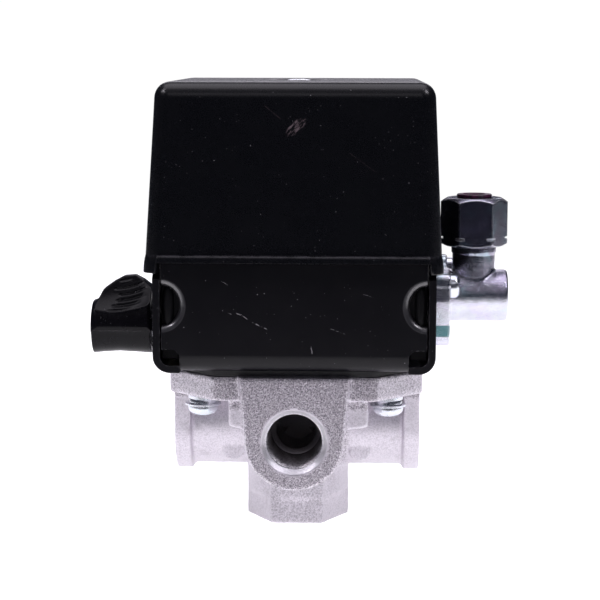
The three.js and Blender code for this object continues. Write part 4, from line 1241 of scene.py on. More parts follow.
def make_manifold():
    low, high = (-30.2, -32.4, -1.4), (30.2, 31.0, 39.6)
    part = surface("manifold_casting", manifold_field, low, high, 0.46)
    cut_port(part, at(0, FRONT_Y, FRONT_Z) @ TO_Y, 14, 33.5)
    cut_port(part, at(-SIDE_X, 0, SIDE_Z) @ TO_X, 14, 31)
    cut_port(part, at(SIDE_X, 0, SIDE_Z) @ turn(pi) @ TO_X, 14, 31)
    cut_port(part, Matrix.Identity(4), 13, 38.5)
    chamber = [
        (0, 35.2), (11.8, 35.2), (12.2, 35.6), (12.2, 37.75), (12.6, 38.2), (12.6, 40), (0, 40),
    ]
    bore(part, chamber, 64)
    screw_hole = [
        (0, 31), (2.75, 31), (2.75, 32.45), (2.3, 32.95), (2.3, 37.9), (2.6, 38.2), (2.6, 40),
        (0, 40),
    ]
    for x, y in FLANGE_HOLES:
        bore(part, screw_hole, 28, at(x, y))
    mesh = part.data
    mesh.materials.clear()
    mesh.materials.append(LOOK["cast"])
    mesh.materials.append(LOOK["machined"])
    mesh.polygons.foreach_set("material_index", machined_faces(mesh))
    piece(part, "manifold", "cast", look="own", angle=40, weighted=False)


def make_diaphragm():
    part = prism("diaphragm_sheet", round_poly(DIAPHRAGM, 2.5), "Z", 38.19, 39.46)
    for x, y in FLANGE_HOLES:
        hole(part, 2.3, 37, 41, 28, at(x, y))
    bevel(part, 0.35, 3)
    piece(part, "diaphragm", "rubber")


# ==== folded steel frame ==========================================================================
RELIEF = round_poly(  # (x, z) of the notch beside a bend
    [(25.2, 38.5), (29.6, 38.5), (29.6, 44.7), (26.4, 44.7), (25.2, 43.5)], [0, 0, 0, 0.5, 0.5], 3
)
LEAD = [  # (y, z) cut from the top edges, so that the cover slips on
    (-HALF_Y - 2, 60.3), (-HALF_Y, 60.3), (-31.8, 61.6), (-31.2, 69), (-HALF_Y - 2, 69),
]
EAR = [(-27.2, BASE_TOP - 0.6), (-20.8, BASE_TOP - 0.6), (-20.8, 49.9), (-27.2, 49.9)]  # (x, z)


def channel(half, top, bend, steps):
    """U outline of the folded sheet, open upwards."""
    outer = [(-half, top), (-half, BASE_Z), (half, BASE_Z), (half, top)]
    wall = half - SHEET
    inner = [(wall, top), (wall, BASE_TOP), (-wall, BASE_TOP), (-wall, top)]
    tight = bend - SHEET
    return round_poly(outer + inner, [0, bend, bend, 0, 0, tight, tight, 0], steps)


def drawn_opening(x, wall):
    """Cutter for an oval opening whose mouth at y = wall is widely rounded."""
    side = copysign(1, wall)
    stations = [(-1.5, OPENING_ROUND), (0.0, OPENING_ROUND)]  # (depth, growth of the oval)
    for k in range(1, 9):
        angle = pi / 2 * k / 8
        depth = OPENING_ROUND * (1 - cos(angle))
        stations.append((depth, OPENING_ROUND - OPENING_ROUND * sin(angle)))
    stations.append((4.0, 0.0))
    n = 72
    verts, faces = [], []
    for depth, extra in stations:
        for k in range(n):
            angle = 2 * pi * k / n
            u = x + (OPENING_A + extra) * cos(angle)
            verts.append((u, wall - side * depth, OPENING_Z + (OPENING_B + extra) * sin(angle)))
    for i in range(len(stations) - 1):
        for k in range(n):
            j = (k + 1) % n
            faces.append((i * n + k, i * n + j, (i + 1) * n + j, (i + 1) * n + k))
    faces.append(range(n)[::-1])
    faces.append(range((len(stations) - 1) * n, len(stations) * n))
    return build("tool", verts, faces)


def wall_span(side):
    """y range of a cutter through the front (-1) or rear (1) wall."""
    return sorted((side * (HALF_Y + 1), side * (HALF_Y - 4)))


def make_frame():
    part = prism("frame_steel", channel(HALF_X, 68, 3.7, 10), "Y", -HALF_Y, HALF_Y)
    flaps = prism("flaps", channel(HALF_Y, 67, 4, 12), "X", -29.2, 29.2)
    for j in SIDES:
        for i in SIDES:
            notch = [(i * x, z) for x, z in RELIEF]
            cut(flaps, prism("tool", notch, "Y", *wall_span(j)))
            cut(flaps, drawn_opening(i * OPENING_X, j * HALF_Y))
    for side in (1, -1):
        lead = [(side * y, z) for y, z in LEAD]
        cut(part, prism("tool", lead, "X", -HALF_X - 1, HALF_X + 1))
        cut(part, block(-25.2, 25.2, *wall_span(-side), BASE_Z - 1, BASE_TOP + 1))
    for side in (1, -1):
        span = sorted((side * 12.2, side * 13.8))
        ear = prism("ear", round_poly(EAR, [0, 0, 2.4, 2.4], 8), "Y", *span)
        hole(ear, 1.56, -20, 20, 24, LEVER_AXIS)
        join(part, ear)
    join(part, flaps)

    base_holes = [(12.5, 0, 0, 64)]  # (radius, x, y, segments)
    base_holes += [(2.06, x, y, 28) for x, y in FLANGE_HOLES]
    base_holes += [
        (3.06, ADJUSTER_X, 0, 28), (2.06, ADJUSTER_X, DIFFERENTIAL_Y, 28),
        (2.06, EARTH_X, EARTH_Y, 28), (2.06, -EARTH_X, EARTH_Y, 28),
    ]
    for radius, x, y, segments in base_holes:
        hole(part, radius, -3, 3, segments, at(x, y, BASE_Z + SHEET / 2))
    wall_x = HALF_X - SHEET / 2
    hole(part, 3.15, -3, 3, 28, at(-wall_x, 0, KNOB_Z) @ TO_X)
    hole(part, 2.2, -3, 3, 28, at(wall_x, 0, VALVE_Z) @ TO_X)
    for y, z in VALVE_SCREWS:
        hole(part, 1.56, -3, 3, 28, at(wall_x, y, z) @ TO_X)
    for side in SIDES:
        matrix = at(side * GROMMET_X, HALF_Y - SHEET / 2, GROMMET_Z) @ TO_Y
        hole(part, 7.6, -3, 3, 48, matrix)
    dissolve(part)
    bevel(part, 0.16, 2, 32)
    piece(part, "frame", "frame", angle=38)


def rolled_column():
    """Barrel with rounded ends that shows through the opening in the front wall."""
    n, rows = 28, 18
    verts = []
    for i in range(rows + 1):
        angle = -pi / 2 + pi * i / rows
        rise = copysign(abs(sin(angle)) ** 0.8, sin(angle))
        width = abs(cos(angle)) ** 0.55
        z = 54.2 + 4.55 * rise
        if i in (0, rows):
            verts.append((27.75, -31.0, z))
            continue
        for k in range(n):
            around = 2 * pi * k / n
            verts.append(
                (27.75 + 1.42 * width * cos(around), -31.0 + 2.15 * width * sin(around), z)
            )
    rings = [range(1 + i * n, 1 + (i + 1) * n) for i in range(rows - 1)]
    last = len(verts) - 1
    faces = []
    for k in range(n):
        j = (k + 1) % n
        faces.append((0, rings[0][j], rings[0][k]))
        faces.append((last, rings[-1][k], rings[-1][j]))
        for a, b in zip(rings, rings[1:]):
            faces.append((a[k], a[j], b[j], b[k]))
    return build("column", verts, faces)


def make_corner_insulators():
    def angle_piece(name, inner_x, low, high):
        outline = [
            (inner_x, -31.7), (29.2, -31.7), (29.2, -24), (27.8, -24), (27.8, -30.3),
            (inner_x, -30.3),
        ]
        return prism(name, outline, "Z", low, high)

    right = angle_piece("corner_piece_right", 23.9, 44.2, 63.5)
    join(right, angle_piece("foot", 25.4, 42.4, 45))
    bevel(right, 0.3, 3)
    join(right, rolled_column())
    left = copied(right, "corner_piece_left", Matrix.Diagonal((-1, 1, 1, 1)))
    piece(right, "corner_insulator_right", "dark_plastic", look="fibre", angle=34)
    piece(left, "corner_insulator_left", "dark_plastic", look="fibre", angle=34)


def make_grommets():
    profile = [
        (5.0, 30.45), (5.3, 30.2), (8.9, 30.2), (9.2, 30.5), (9.2, 31.5), (9.0, 31.75),
        (7.5, 31.78), (7.45, 32.0), (7.45, 33.3), (7.55, 33.46), (9.1, 33.5), (9.3, 33.7),
        (9.2, 34.3), (8.7, 34.75), (7.6, 34.8), (6.4, 34.55), (5.6, 34.8), (5.2, 34.75),
        (5.0, 34.5),
    ]
    for k, x in ((1, -GROMMET_X), (2, GROMMET_X)):
        part = lathe(f"grommet_{k}", profile, 56, at(x, 0, GROMMET_Z) @ TO_Y)
        piece(part, f"cable_grommet_{k}", "rubber", angle=50)


# ==== screws ======================================================================================
def place(base, name, replaced, matrices, slot="zinc"):
    """Numbered copies of base, which is removed."""
    for k, matrix in enumerate(matrices, 1):
        piece(copied(base, f"{name}_{k}", matrix), f"{replaced}_{k}", slot)
    drop(base)


def make_screws():
    base = screw("screw_m4", 2.0, 12.3, 3.4, 2.9, washer=0.5)
    transform(base, at(z=1.9))
    washers = [
        (2.02, -0.1), (3.25, -0.1), (3.35, 0.0), (3.35, 0.8), (3.27, 0.88), (3.15, 0.92),
        (3.2, 1.0), (3.2, 1.95), (2.02, 1.95),
    ]
    join(base, lathe("washers", washers, 40))
    front_first = sorted(FLANGE_HOLES, key=lambda spot: spot[1])
    matrices = [
        at(x, y, 32.58) @ turn(pi, "X") @ turn(0.6 * k) for k, (x, y) in enumerate(front_first, 1)
    ]
    place(base, "flange_screw", "manifold_screw", matrices)

    base = screw("screw_m3", 1.46, 6.2, 2.7, 2.0, pitch=0.5)
    matrices = [at(0, y, 64.65) @ turn(0.9 * k) for k, y in ((1, -12), (2, 12))]
    place(base, "block_fixing", "block_screw", matrices)

    base = screw("screw_terminal", 1.95, 9.0, 3.7, 2.7, slot=True)
    matrices = [
        at(-21.5, y, 77.1) @ turn(0.7 + 0.5 * k) for k, y in enumerate((-18, -6, 6, 18))
    ]
    place(base, "clamp_screw", "terminal_screw", matrices)

    base = screw("screw_earth", 1.95, 1.55, 3.5, 2.4, slot=True)
    matrices = [
        at(x, EARTH_Y, BASE_TOP + 0.03) @ turn(0.8 * k) for k, x in ((1, -EARTH_X), (2, EARTH_X))
    ]
    place(base, "earthing_screw", "earth_screw", matrices, "green")

    base = screw("screw_valve", 1.48, 6.4, 2.85, 2.4, pitch=0.5)
    matrices = [at(35.25, y, z) @ TO_X @ turn(0.5 + k) for k, (y, z) in enumerate(VALVE_SCREWS)]
    place(base, "valve_fixing", "unloader_screw", matrices)

    lid_screw = screw("lid_screw", 1.95, 11.5, 3.9, 2.3, segments=48)
    piece(transform(lid_screw, at(z=101.15)), "cover_screw", "zinc")


# ==== adjusters, springs, pins ====================================================================
STUDS = (  # name, replaced, radius, top, y, pitch, thread's low end
    ("range_bolt", "range_stud", 3.0, 82, 0, 1.0, 60.0),
    ("differential_bolt", "differential_stud", 2.0, 72, DIFFERENTIAL_Y, 0.7, 55.0),
)
SPRINGS = (  # name, replaced, seat, radius, wire, top, per turn, sides, y, share below the split,
    # heights in metres where the lower and upper parts start and stop bending
    ("range_coil", "range_spring", "range_seat", 5.5, 1.9, 68.0, 36, 16, 0, 0.597,
     (0.0495, 0.0598, 0.0602, 0.0660)),
    ("differential_coil", "differential_spring", "differential_seat", 3.0, 0.9, 61.0, 30, 12,
     DIFFERENTIAL_Y, 0.669, (0.0490, 0.0568, 0.0572, 0.0598)),
)
RANGE_SEAT = [
    (3.3, 66.8), (3.5, 66.6), (3.9, 66.6), (4.1, 66.8), (4.1, 67.8), (4.3, 68.02), (6.9, 68.02),
    (7.1, 68.2), (7.1, 69.2), (6.8, 69.6), (3.5, 69.6), (3.3, 69.4),
]
DIFFERENTIAL_SEAT = [
    (2.2, 61.1), (2.3, 61.02), (4.0, 61.02), (4.1, 61.15), (4.1, 62.05), (3.95, 62.2),
    (2.3, 62.2), (2.2, 62.1),
]


def make_springs():
    """Two parts each: the lower spans lever and frame, the upper frame and seat."""
    for name, replaced, seat, r, wire, top, per_turn, sides, y, split, heights in SPRINGS:
        bodies = ("pressure_lever", "housing", NODES[seat]["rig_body"])
        shares = ((0.0, split - 0.0001), (split + 0.0001, 1.0))
        for i, half in enumerate(("lower", "upper")):
            part = coil(
                f"{name}_{half}", r, wire, 48.05, top, 6.5, per_turn, sides, ADJUSTER_X, y,
                shares[i],
            )
            start, end = ((ADJUSTER_X / 1000, y / 1000, z) for z in heights[2 * i : 2 * i + 2])
            blend = (bodies[i], bodies[i + 1], start, end)
            piece(part, replaced, "spring", blend=blend, angle=50, weighted=False)


def hex_nut(name, across_flats, low, high, radius):
    part = prism(name, hexagon(across_flats, 0.25, 2), "Z", low, high)
    corner, flat = across_flats / sqrt(3), across_flats / 2
    drop_z = (corner - flat) * 0.62
    turned = [
        (0, low), (flat * 0.97, low), (corner + 0.1, low + drop_z),
        (corner + 0.1, high - drop_z), (flat * 0.97, high), (0, high),
    ]
    boolean(part, lathe("tool", turned, 48), "INTERSECT")
    wide, lead = radius * 1.12, radius * 0.14
    inside = [
        (0, low - 1), (wide, low - 1), (wide, low + 0.01), (radius, low + lead),
        (radius, high - lead), (wide, high - 0.01), (wide, high + 1), (0, high + 1),
    ]
    bore(part, inside, 36)
    return bevel(dissolve(part), 0.1, 2, 25)


def make_adjusters():
    for name, replaced, r, top, y, pitch, low in STUDS:
        rings, radius_at = thread(
            low, top - r * 0.3, r, r * 0.13, pitch, per_turn=7, run_in=0.6
        )
        foot = [(0, 39.52), (r - 0.3, 39.52), (r, 39.9), (r, low - 0.4)]
        profile = foot + rings + [(r * 0.72, top), (0, top)]
        part = lathe(name, profile, 32, at(ADJUSTER_X, y), radius_at)
        piece(part, replaced, "zinc", angle=40)
    make_springs()
    part = lathe("range_spring_seat", RANGE_SEAT, 48, at(ADJUSTER_X))
    piece(part, "range_seat", "zinc", angle=50)
    spot = at(ADJUSTER_X, DIFFERENTIAL_Y)
    part = lathe("differential_spring_seat", DIFFERENTIAL_SEAT, 40, spot)
    piece(part, "differential_seat", "zinc", angle=50)
    part = transform(hex_nut("range_hex_nut", 10, 69.65, 75.2, 3.02), at(ADJUSTER_X))
    piece(part, "range_nut", "zinc", angle=34)
    part = transform(hex_nut("differential_hex_nut", 7, 62.25, 65.8, 2.02), spot)
    piece(part, "differential_nut", "zinc", angle=34)


def make_pins():
    rivet = [
        (0, 8.3), (1.6, 8.3), (2.0, 8.42), (2.2, 8.65), (2.2, 9.1), (2.1, 9.2), (1.5, 9.2),
        (1.5, 13.9), (2.4, 13.9), (2.6, 14.1), (2.5, 14.5), (2.0, 14.85), (1.0, 15.06), (0, 15.1),
    ]
    for k, side in ((1, -1), (2, 1)):
        matrix = Matrix.Diagonal((1, side, 1, 1)) @ LEVER_AXIS
        piece(lathe(f"rivet_pin_{k}", rivet, 32, matrix), f"lever_pin_{k}", "zinc", angle=40)
    trip = [
        (0, -18.2), (1.85, -18.2), (2.0, -18.05), (2.0, -17.05), (1.85, -16.9), (1.25, -16.9),
        (1.25, 17.7), (1.0, 18.0), (0, 18.0),
    ]
    part = lathe("trip_shaft", trip, 32, at(0, 0, 54.5) @ TO_Y)
    piece(part, "trip_pin", "zinc", angle=40)
    piston = [
        (0, 39.51), (11.5, 39.51), (11.8, 39.8), (11.8, 41.2), (11.4, 41.6), (4.6, 41.6),
        (4.15, 41.75), (4.0, 42.2), (4.0, 45.4), (3.7, 45.8), (2.4, 46.35), (1.2, 46.5), (0, 46.5),
    ]
    piece(lathe("thrust_piston", piston, 64), "diaphragm_piston", "yellow_zinc", angle=40)
    for k, y in ((1, -12), (2, 12)):
        part = coil(f"contact_coil_{k}", 2.1, 0.28, 57.02, 58.28, 2.5, 36, 10, -20, y)
        piece(part, f"contact_spring_{k}", "spring", angle=50, weighted=False)


# ==== auto / off knob =============================================================================
HUB = (  # (x, radius)
    (-60, 5.2), (-49.0, 6.0), (-48.5, 6.28), (-46.5, 6.05), (-42.5, 5.78), (-37.5, 6.05),
    (-34.5, 6.25), (-30, 6.4),
)
HUB_END, HUB_DOME = -49.0, 40.0  # x of the outer end and the radius of its dome
LOBE = (  # (x, z)
    (-47.9, 44.9), (-47.7, 50.6), (-46.0, 54.0), (-43.8, 55.6), (-41.2, 57.0), (-38.6, 57.2),
    (-36.6, 56.1), (-34.52, 54.4), (-34.52, 44.9),
)
PAD_CENTRE = np.array([-41.2, -3.0, 53.7])
PAD_NORMAL = np.array([0.0, -0.785, 0.62])
PAD_TURN = 0.50  # radians by which the oval climbs towards the frame
PAD_LONG, PAD_SHORT = 8.2, 5.3
GROOVE_X, GROOVE_Z = -43.4, 70.4
GROOVES = (  # radius, x from, x to, depth
    (14.6, -42.6, -39.0, 0.16),
    (16.3, -43.6, -36.6, 0.22),
    (17.7, -42.4, -35.6, 0.24),
    (18.9, -43.0, -35.8, 0.24),
    (20.0, -44.0, -36.8, 0.20),
    (21.0, -45.0, -37.4, 0.16),
)


def knob_field(points):
    x, y, z = points.T
    from_axis = np.hypot(y, z - KNOB_Z)
    radius = np.interp(x, *np.array(HUB).T)
    hub = sdf_slab((from_axis - radius) * 0.99, x, HUB_END, -34.5, 0.55)
    ball = np.sqrt((x - (HUB_END + HUB_DOME)) ** 2 + from_axis**2) - HUB_DOME
    hub = smooth_max(hub, ball, 0.3)
    lobe = sdf_slab(sdf_polygon(x, z, LOBE), y, -6.6, 5.2, 1.0)
    # back of the lobe leans in towards its top
    lobe = smooth_max(lobe, (y - 5.6 + (z - 49.0) * 0.28) * 0.96, 1.2)
    distance = smooth_min(hub, lobe, 1.6)
    # thumb pad: an oval dish across the front of the lobe, deepest at its centre
    from_pad = points - PAD_CENTRE
    height = from_pad @ PAD_NORMAL
    climb = sin(PAD_TURN)
    long_axis = np.array([cos(PAD_TURN), climb * 0.62, climb * 0.785])
    long_axis -= PAD_NORMAL * (long_axis @ PAD_NORMAL)
    long_axis /= np.linalg.norm(long_axis)
    short_axis = np.cross(PAD_NORMAL, long_axis)
    ring = (from_pad @ long_axis / PAD_LONG) ** 2 + (from_pad @ short_axis / PAD_SHORT) ** 2
    bowl = height + 0.95 - 1.15 * ring
    distance = smooth_max(distance, bowl * 0.82, 0.35)
    # grip grooves, each with a low ridge beside it
    reach = np.hypot(x - GROOVE_X, z - GROOVE_Z)
    near_bowl = np.clip((bowl * 0.82 + 0.9) / 0.7, 0, 1)
    face = near_bowl * np.clip((1.0 - ring) / 0.22, 0, 1) * (y < 3.2)
    for radius, start, end, depth in GROOVES:
        along = np.clip((x - start) / 0.8, 0, 1) * np.clip((end - x) / 1.4, 0, 1)
        groove = np.exp(-(((reach - radius) / 0.22) ** 2))
        distance = distance + depth * groove * along * face
        ridge = np.exp(-(((reach - radius - 0.42) / 0.26) ** 2))
        distance = distance - 0.12 * ridge * along * face
    return distance


def make_knob():
    low, high = (-50.2, -7.9, 37.4), (-33.4, 7.6, 59.0)
    part = surface("knob_moulding", knob_field, low, high, 0.17, relax=2)
    shaft_bore = [
        (0, -44.2), (2.9, -44.2), (3.06, -44.0), (3.06, -34.9), (3.4, -34.4), (3.4, -30), (0, -30),
    ]
    bore(part, shaft_bore, 40, KNOB_AXIS)
    piece(part, "knob", "knob", angle=50, weighted=False)
    spindle = [
        (0, -44), (2.8, -44), (3.0, -43.8), (3.0, -34.4), (4.85, -34.4), (5.0, -34.25),
        (5.0, -31.35), (4.85, -31.2), (3.05, -31.2), (3.05, -28.4), (2.4, -28.4), (2.4, -27.6),
        (3.0, -27.6), (3.0, -19.9), (2.7, -19.5), (1.6, -19.5), (1.6, -7.6), (1.4, -7.4),
        (0, -7.4),
    ]
    shaft = lathe("knob_spindle", spindle, 48, KNOB_AXIS)
    cut(shaft, block(-13, -7, -2, 2, KNOB_Z + 0.7, KNOB_Z + 3))
    piece(shaft, "knob_shaft", "zinc", angle=36)
    ring = [(2.5, -28.35), (3.6, -28.35), (3.6, -27.65), (2.5, -27.65)]
    clip = lathe("spindle_clip", ring, 48, KNOB_AXIS)
    cut(clip, block(-29, -27, -1.6, 1.6, KNOB_Z + 0.4, KNOB_Z + 6))
    bevel(clip, 0.08)
    piece(clip, "shaft_clip", "spring", angle=36)


# ==== unloader valve ==============================================================================
PLATE = round_poly(  # (y, z)
    [(-11.5, 42.5), (13.2, 42.5), (14.1, 54.0), (14.1, 61.4), (7.2, 61.4), (5.8, 59.2),
     (-12.8, 59.2), (-13.1, 52.9)],
    [1.2, 3, 3, 3.4, 2.5, 1.5, 1.6, 1.0], 5,
)


def valve_field(points):
    x, y, z = points.T
    plate = sdf_slab(sdf_polygon(y, z, PLATE), x, 31.14, 35.2, 0.35)
    body = sdf_slab(np.hypot(y, z - VALVE_Z) - 6.1, x, 33.5, 49.0, 0.75)
    neck = sdf_cylinder(points, 2, (NECK_X, 0), 4.95, 50, 64.2, 0.2)
    collar = sdf_cylinder(points, 2, (NECK_X, 0), 5.2, 62.95, 64.66, 0.25)
    distance = np.minimum(fuse(plate, (body, 0.8), (neck, 0.5)), collar)
    for spot in VALVE_SCREWS:  # lugs
        lug = sdf_cylinder(points, 0, spot, 3.15, 31.3, 35.2, 0.3)
        distance = smooth_min(distance, lug, 0.6)
    # raised line across the front edge of the plate
    line = np.exp(-(((z - 56.6) / 0.22) ** 2)) * np.clip((35.6 - x) / 0.4, 0, 1) * (y < -12)
    return distance - 0.10 * line + ripple(points, 0.012, 1.5, 3.0)


def make_valve_body():
    low, high = (30.4, -14.6, 41.6), (50.4, 15.4, 65.8)
    part = surface("valve_body", valve_field, low, high, 0.30)
    rings, radius_at = thread(64.6, 71.6, 4.8, 0.6, 1.0)
    stem = [(0, 64.0), (4.2, 64.0), (4.2, 64.6)] + rings + [(4.1, 72.0), (0, 72.0)]
    join(part, lathe("stem", stem, 48, NECK_AXIS, radius_at))
    hole(part, 1.5, 30, 38.1, 28, VALVE_AXIS)
    bore(part, [(0, 38), (3.6, 38), (3.6, 48.6), (4.0, 49.05), (4.0, 50), (0, 50)], 40, VALVE_AXIS)
    neck_bore = [(0, VALVE_Z), (2.0, VALVE_Z), (2.0, 71.5), (2.5, 72.05), (2.5, 73), (0, 73)]
    bore(part, neck_bore, 28, NECK_AXIS)
    for y, z in VALVE_SCREWS:
        hole(part, 1.7, 30, 36, 24, at(0, y, z) @ TO_X)
    piece(part, "unloader_body", "valve_zinc", angle=45, weighted=False)


def make_compression_joint():
    nut = prism("compression_nut", hexagon(13.7, 0.55), "Z", 64.7, 76.0)
    turned = [
        (0, 64.7), (6.7, 64.7), (7.35, 65.05), (8.2, 65.3), (8.2, 66.3), (7.25, 66.42),
        (7.25, 66.78), (8.2, 66.95), (8.2, 74.75), (7.1, 75.5), (6.3, 76.0), (0, 76.0),
    ]
    boolean(nut, lathe("tool", turned, 96), "INTERSECT")
    # clearance over the threaded stem, then the tube's way out
    clearance = [
        (0, 63), (4.95, 63), (4.95, 73.1), (3.3, 74.2), (3.3, 75.7), (3.7, 76.05), (3.7, 78),
        (0, 78),
    ]
    bore(nut, clearance)
    transform(nut, NECK_AXIS)
    bevel(dissolve(nut), 0.14, 2, 24)
    piece(nut, "unloader_nut", "valve_zinc", angle=34)

    olive = [
        (3.2, 72.05), (4.2, 72.05), (4.6, 72.3), (4.55, 72.6), (4.2, 72.95), (3.9, 73.0),
        (3.2, 73.0),
    ]
    piece(lathe("olive", olive, 48, NECK_AXIS), "unloader_ferrule", "brass", angle=40)
    liner = [
        (2.6, 73.6), (3.2, 73.6), (3.2, 76.03), (3.95, 76.03), (4.1, 76.2), (4.1, 76.6),
        (3.9, 76.82), (3.4, 76.85), (2.85, 76.8), (2.6, 76.5),
    ]
    part = lathe("tube_liner", liner, 56, NECK_AXIS)
    piece(part, "unloader_sleeve", "dark_plastic", look="sleeve", angle=50)


def make_poppet():
    r = 1.4
    nose = [(r * sin(pi / 2 * k / 8), 28.39 - r * cos(pi / 2 * k / 8)) for k in range(9)]
    stem = [
        (r, 38.15), (2.85, 38.15), (3.0, 38.3), (3.0, 39.3), (2.7, 39.7), (2.0, 40.5),
        (1.85, 40.6), (0, 40.6),
    ]
    piece(lathe("poppet_pin", nose + stem, 40, VALVE_AXIS), "unloader_pin", "brass", angle=36)
    spring = transform(coil("poppet_coil", 2.5, 0.5, 41.4, 46.3, 4.5, 30, 10), VALVE_AXIS)
    piece(spring, "unloader_spring", "spring", angle=50, weighted=False)
    plug_profile = [
        (0, 46.4), (3.3, 46.4), (3.5, 46.6), (3.5, 48.55), (3.3, 48.8), (1.2, 48.8), (1.1, 48.7),
        (1.1, 47.4), (0, 47.4),
    ]
    part = lathe("screw_plug", plug_profile, 40, VALVE_AXIS)
    cut(part, block(48.1, 50, -4, 4, VALVE_Z - 0.45, VALVE_Z + 0.45))
    piece(part, "unloader_plug", "brass", angle=36)


# ==== moulded cover ===============================================================================
COVER_LOW, COVER_TOP = 61.7, 103.2
LIP_Z = 64.0  # lower edge along the front and rear
COVER_X, COVER_Y = 32.45, 34.9  # half sizes at the lower edge
WALL, DRAFT = 1.25, 0.047
CORNER, TOP_EDGE = 3.6, 3.45  # radii
INNER_ROUND = 2.0
FLARE = 0.28
# degrees from the X axis round a corner; close pair at the step of the rim
ARC = (0, 10, 20, 30, 40, 50, 60, 68, 74, 76.6, 78.4, 81, 85, 90)
LONG_X = [-26 + 4 * k for k in range(14)]  # x of the points along the front and rear
RIM = (  # share of the flare taken back, rise in front and rear, rise at the sides, lip
    (0.0, 0.14, 0.16, 0.55), (0.0, 0.75, 0.9, 0.57), (0.15, 1.36, 2.4, 0.57),
    (0.55, 1.5, 3.2, 0.53), (0.8, 1.6, 3.6, 0.44), (0.95, 1.67, 3.8, 0.28),
    (1.0, 1.7, 3.95, 0.08), (1.0, 1.72, 4.05, 0.02),
)
WELL = (  # (radius, z) down the screw's well, through its hole and up the boss inside
    (6.95, COVER_TOP + 0.02), (6.6, COVER_TOP - 0.1), (6.45, COVER_TOP - 0.35), (5.75, 101.3),
    (5.5, 101.12), (5.2, 101.1), (2.5, 101.1), (2.3, 100.95), (2.3, 99.7), (2.5, 99.5),
    (7.9, 99.5), (8.2, 99.8), (8.2, 101.6), (8.6, 101.95),
)


def ring_points(half_x, half_y, r):
    """Rounded rectangle of (x, y, zone), anticlockwise from the +X side, always of equal count.

    The zone is 0 at the sides, 1 at the step of the rim and 2 along front and rear, where the lip is.
    """
    out = []

    def side(x, start, end):
        for k in range(1, 12):
            out.append((x, start + (end - start) * (k / 12), 0))

    def corner(sign_x, sign_y, order):
        for angle in order:
            c, s = cos(radians(angle)), sin(radians(angle))
            zone = 0 if angle < 78 else (1 if angle < 80 else 2)
            x, y = sign_x * (half_x - r + r * c), sign_y * (half_y - r + r * s)
            out.append((x, y, zone))

    straight = half_y - r
    side(half_x, -straight, straight)
    corner(1, 1, ARC)
    out.extend((x, half_y, 2) for x in reversed(LONG_X))
    corner(-1, 1, ARC[::-1])
    side(-half_x, straight, -straight)
    corner(-1, -1, ARC)
    out.extend((x, -half_y, 2) for x in LONG_X)
    corner(1, -1, ARC[::-1])
    return out


def cover_ring(inset, r, side_z, front_z=None, lip=0.0):
    """One loop of the shell at an inset from the outer wall, drawn in by the draft."""
    if front_z is None:
        front_z = side_z
    out = []
    for x, y, zone in ring_points(COVER_X - inset, COVER_Y - inset, r):
        z = front_z if zone else side_z
        draft = DRAFT * (z - COVER_LOW)
        new_x, new_y = x * (1 - draft / COVER_X), y * (1 - draft / COVER_Y)
        if zone == 2:
            new_y += copysign(lip, y)
        if x < 0:  # the left wall leans out a little towards its foot
            lean = 0.45 * max(0.0, 1 - (z - COVER_LOW) / 36)
            new_x -= lean * min(1.0, abs(x) / 31) ** 6
        out.append((new_x, new_y, z))
    return out


def slip_rim(side_z, front_z):
    """Straight inner loop that slips over the frame."""
    return [(x, y, front_z if zone else side_z) for x, y, zone in ring_points(31.32, 33.62, 2.0)]


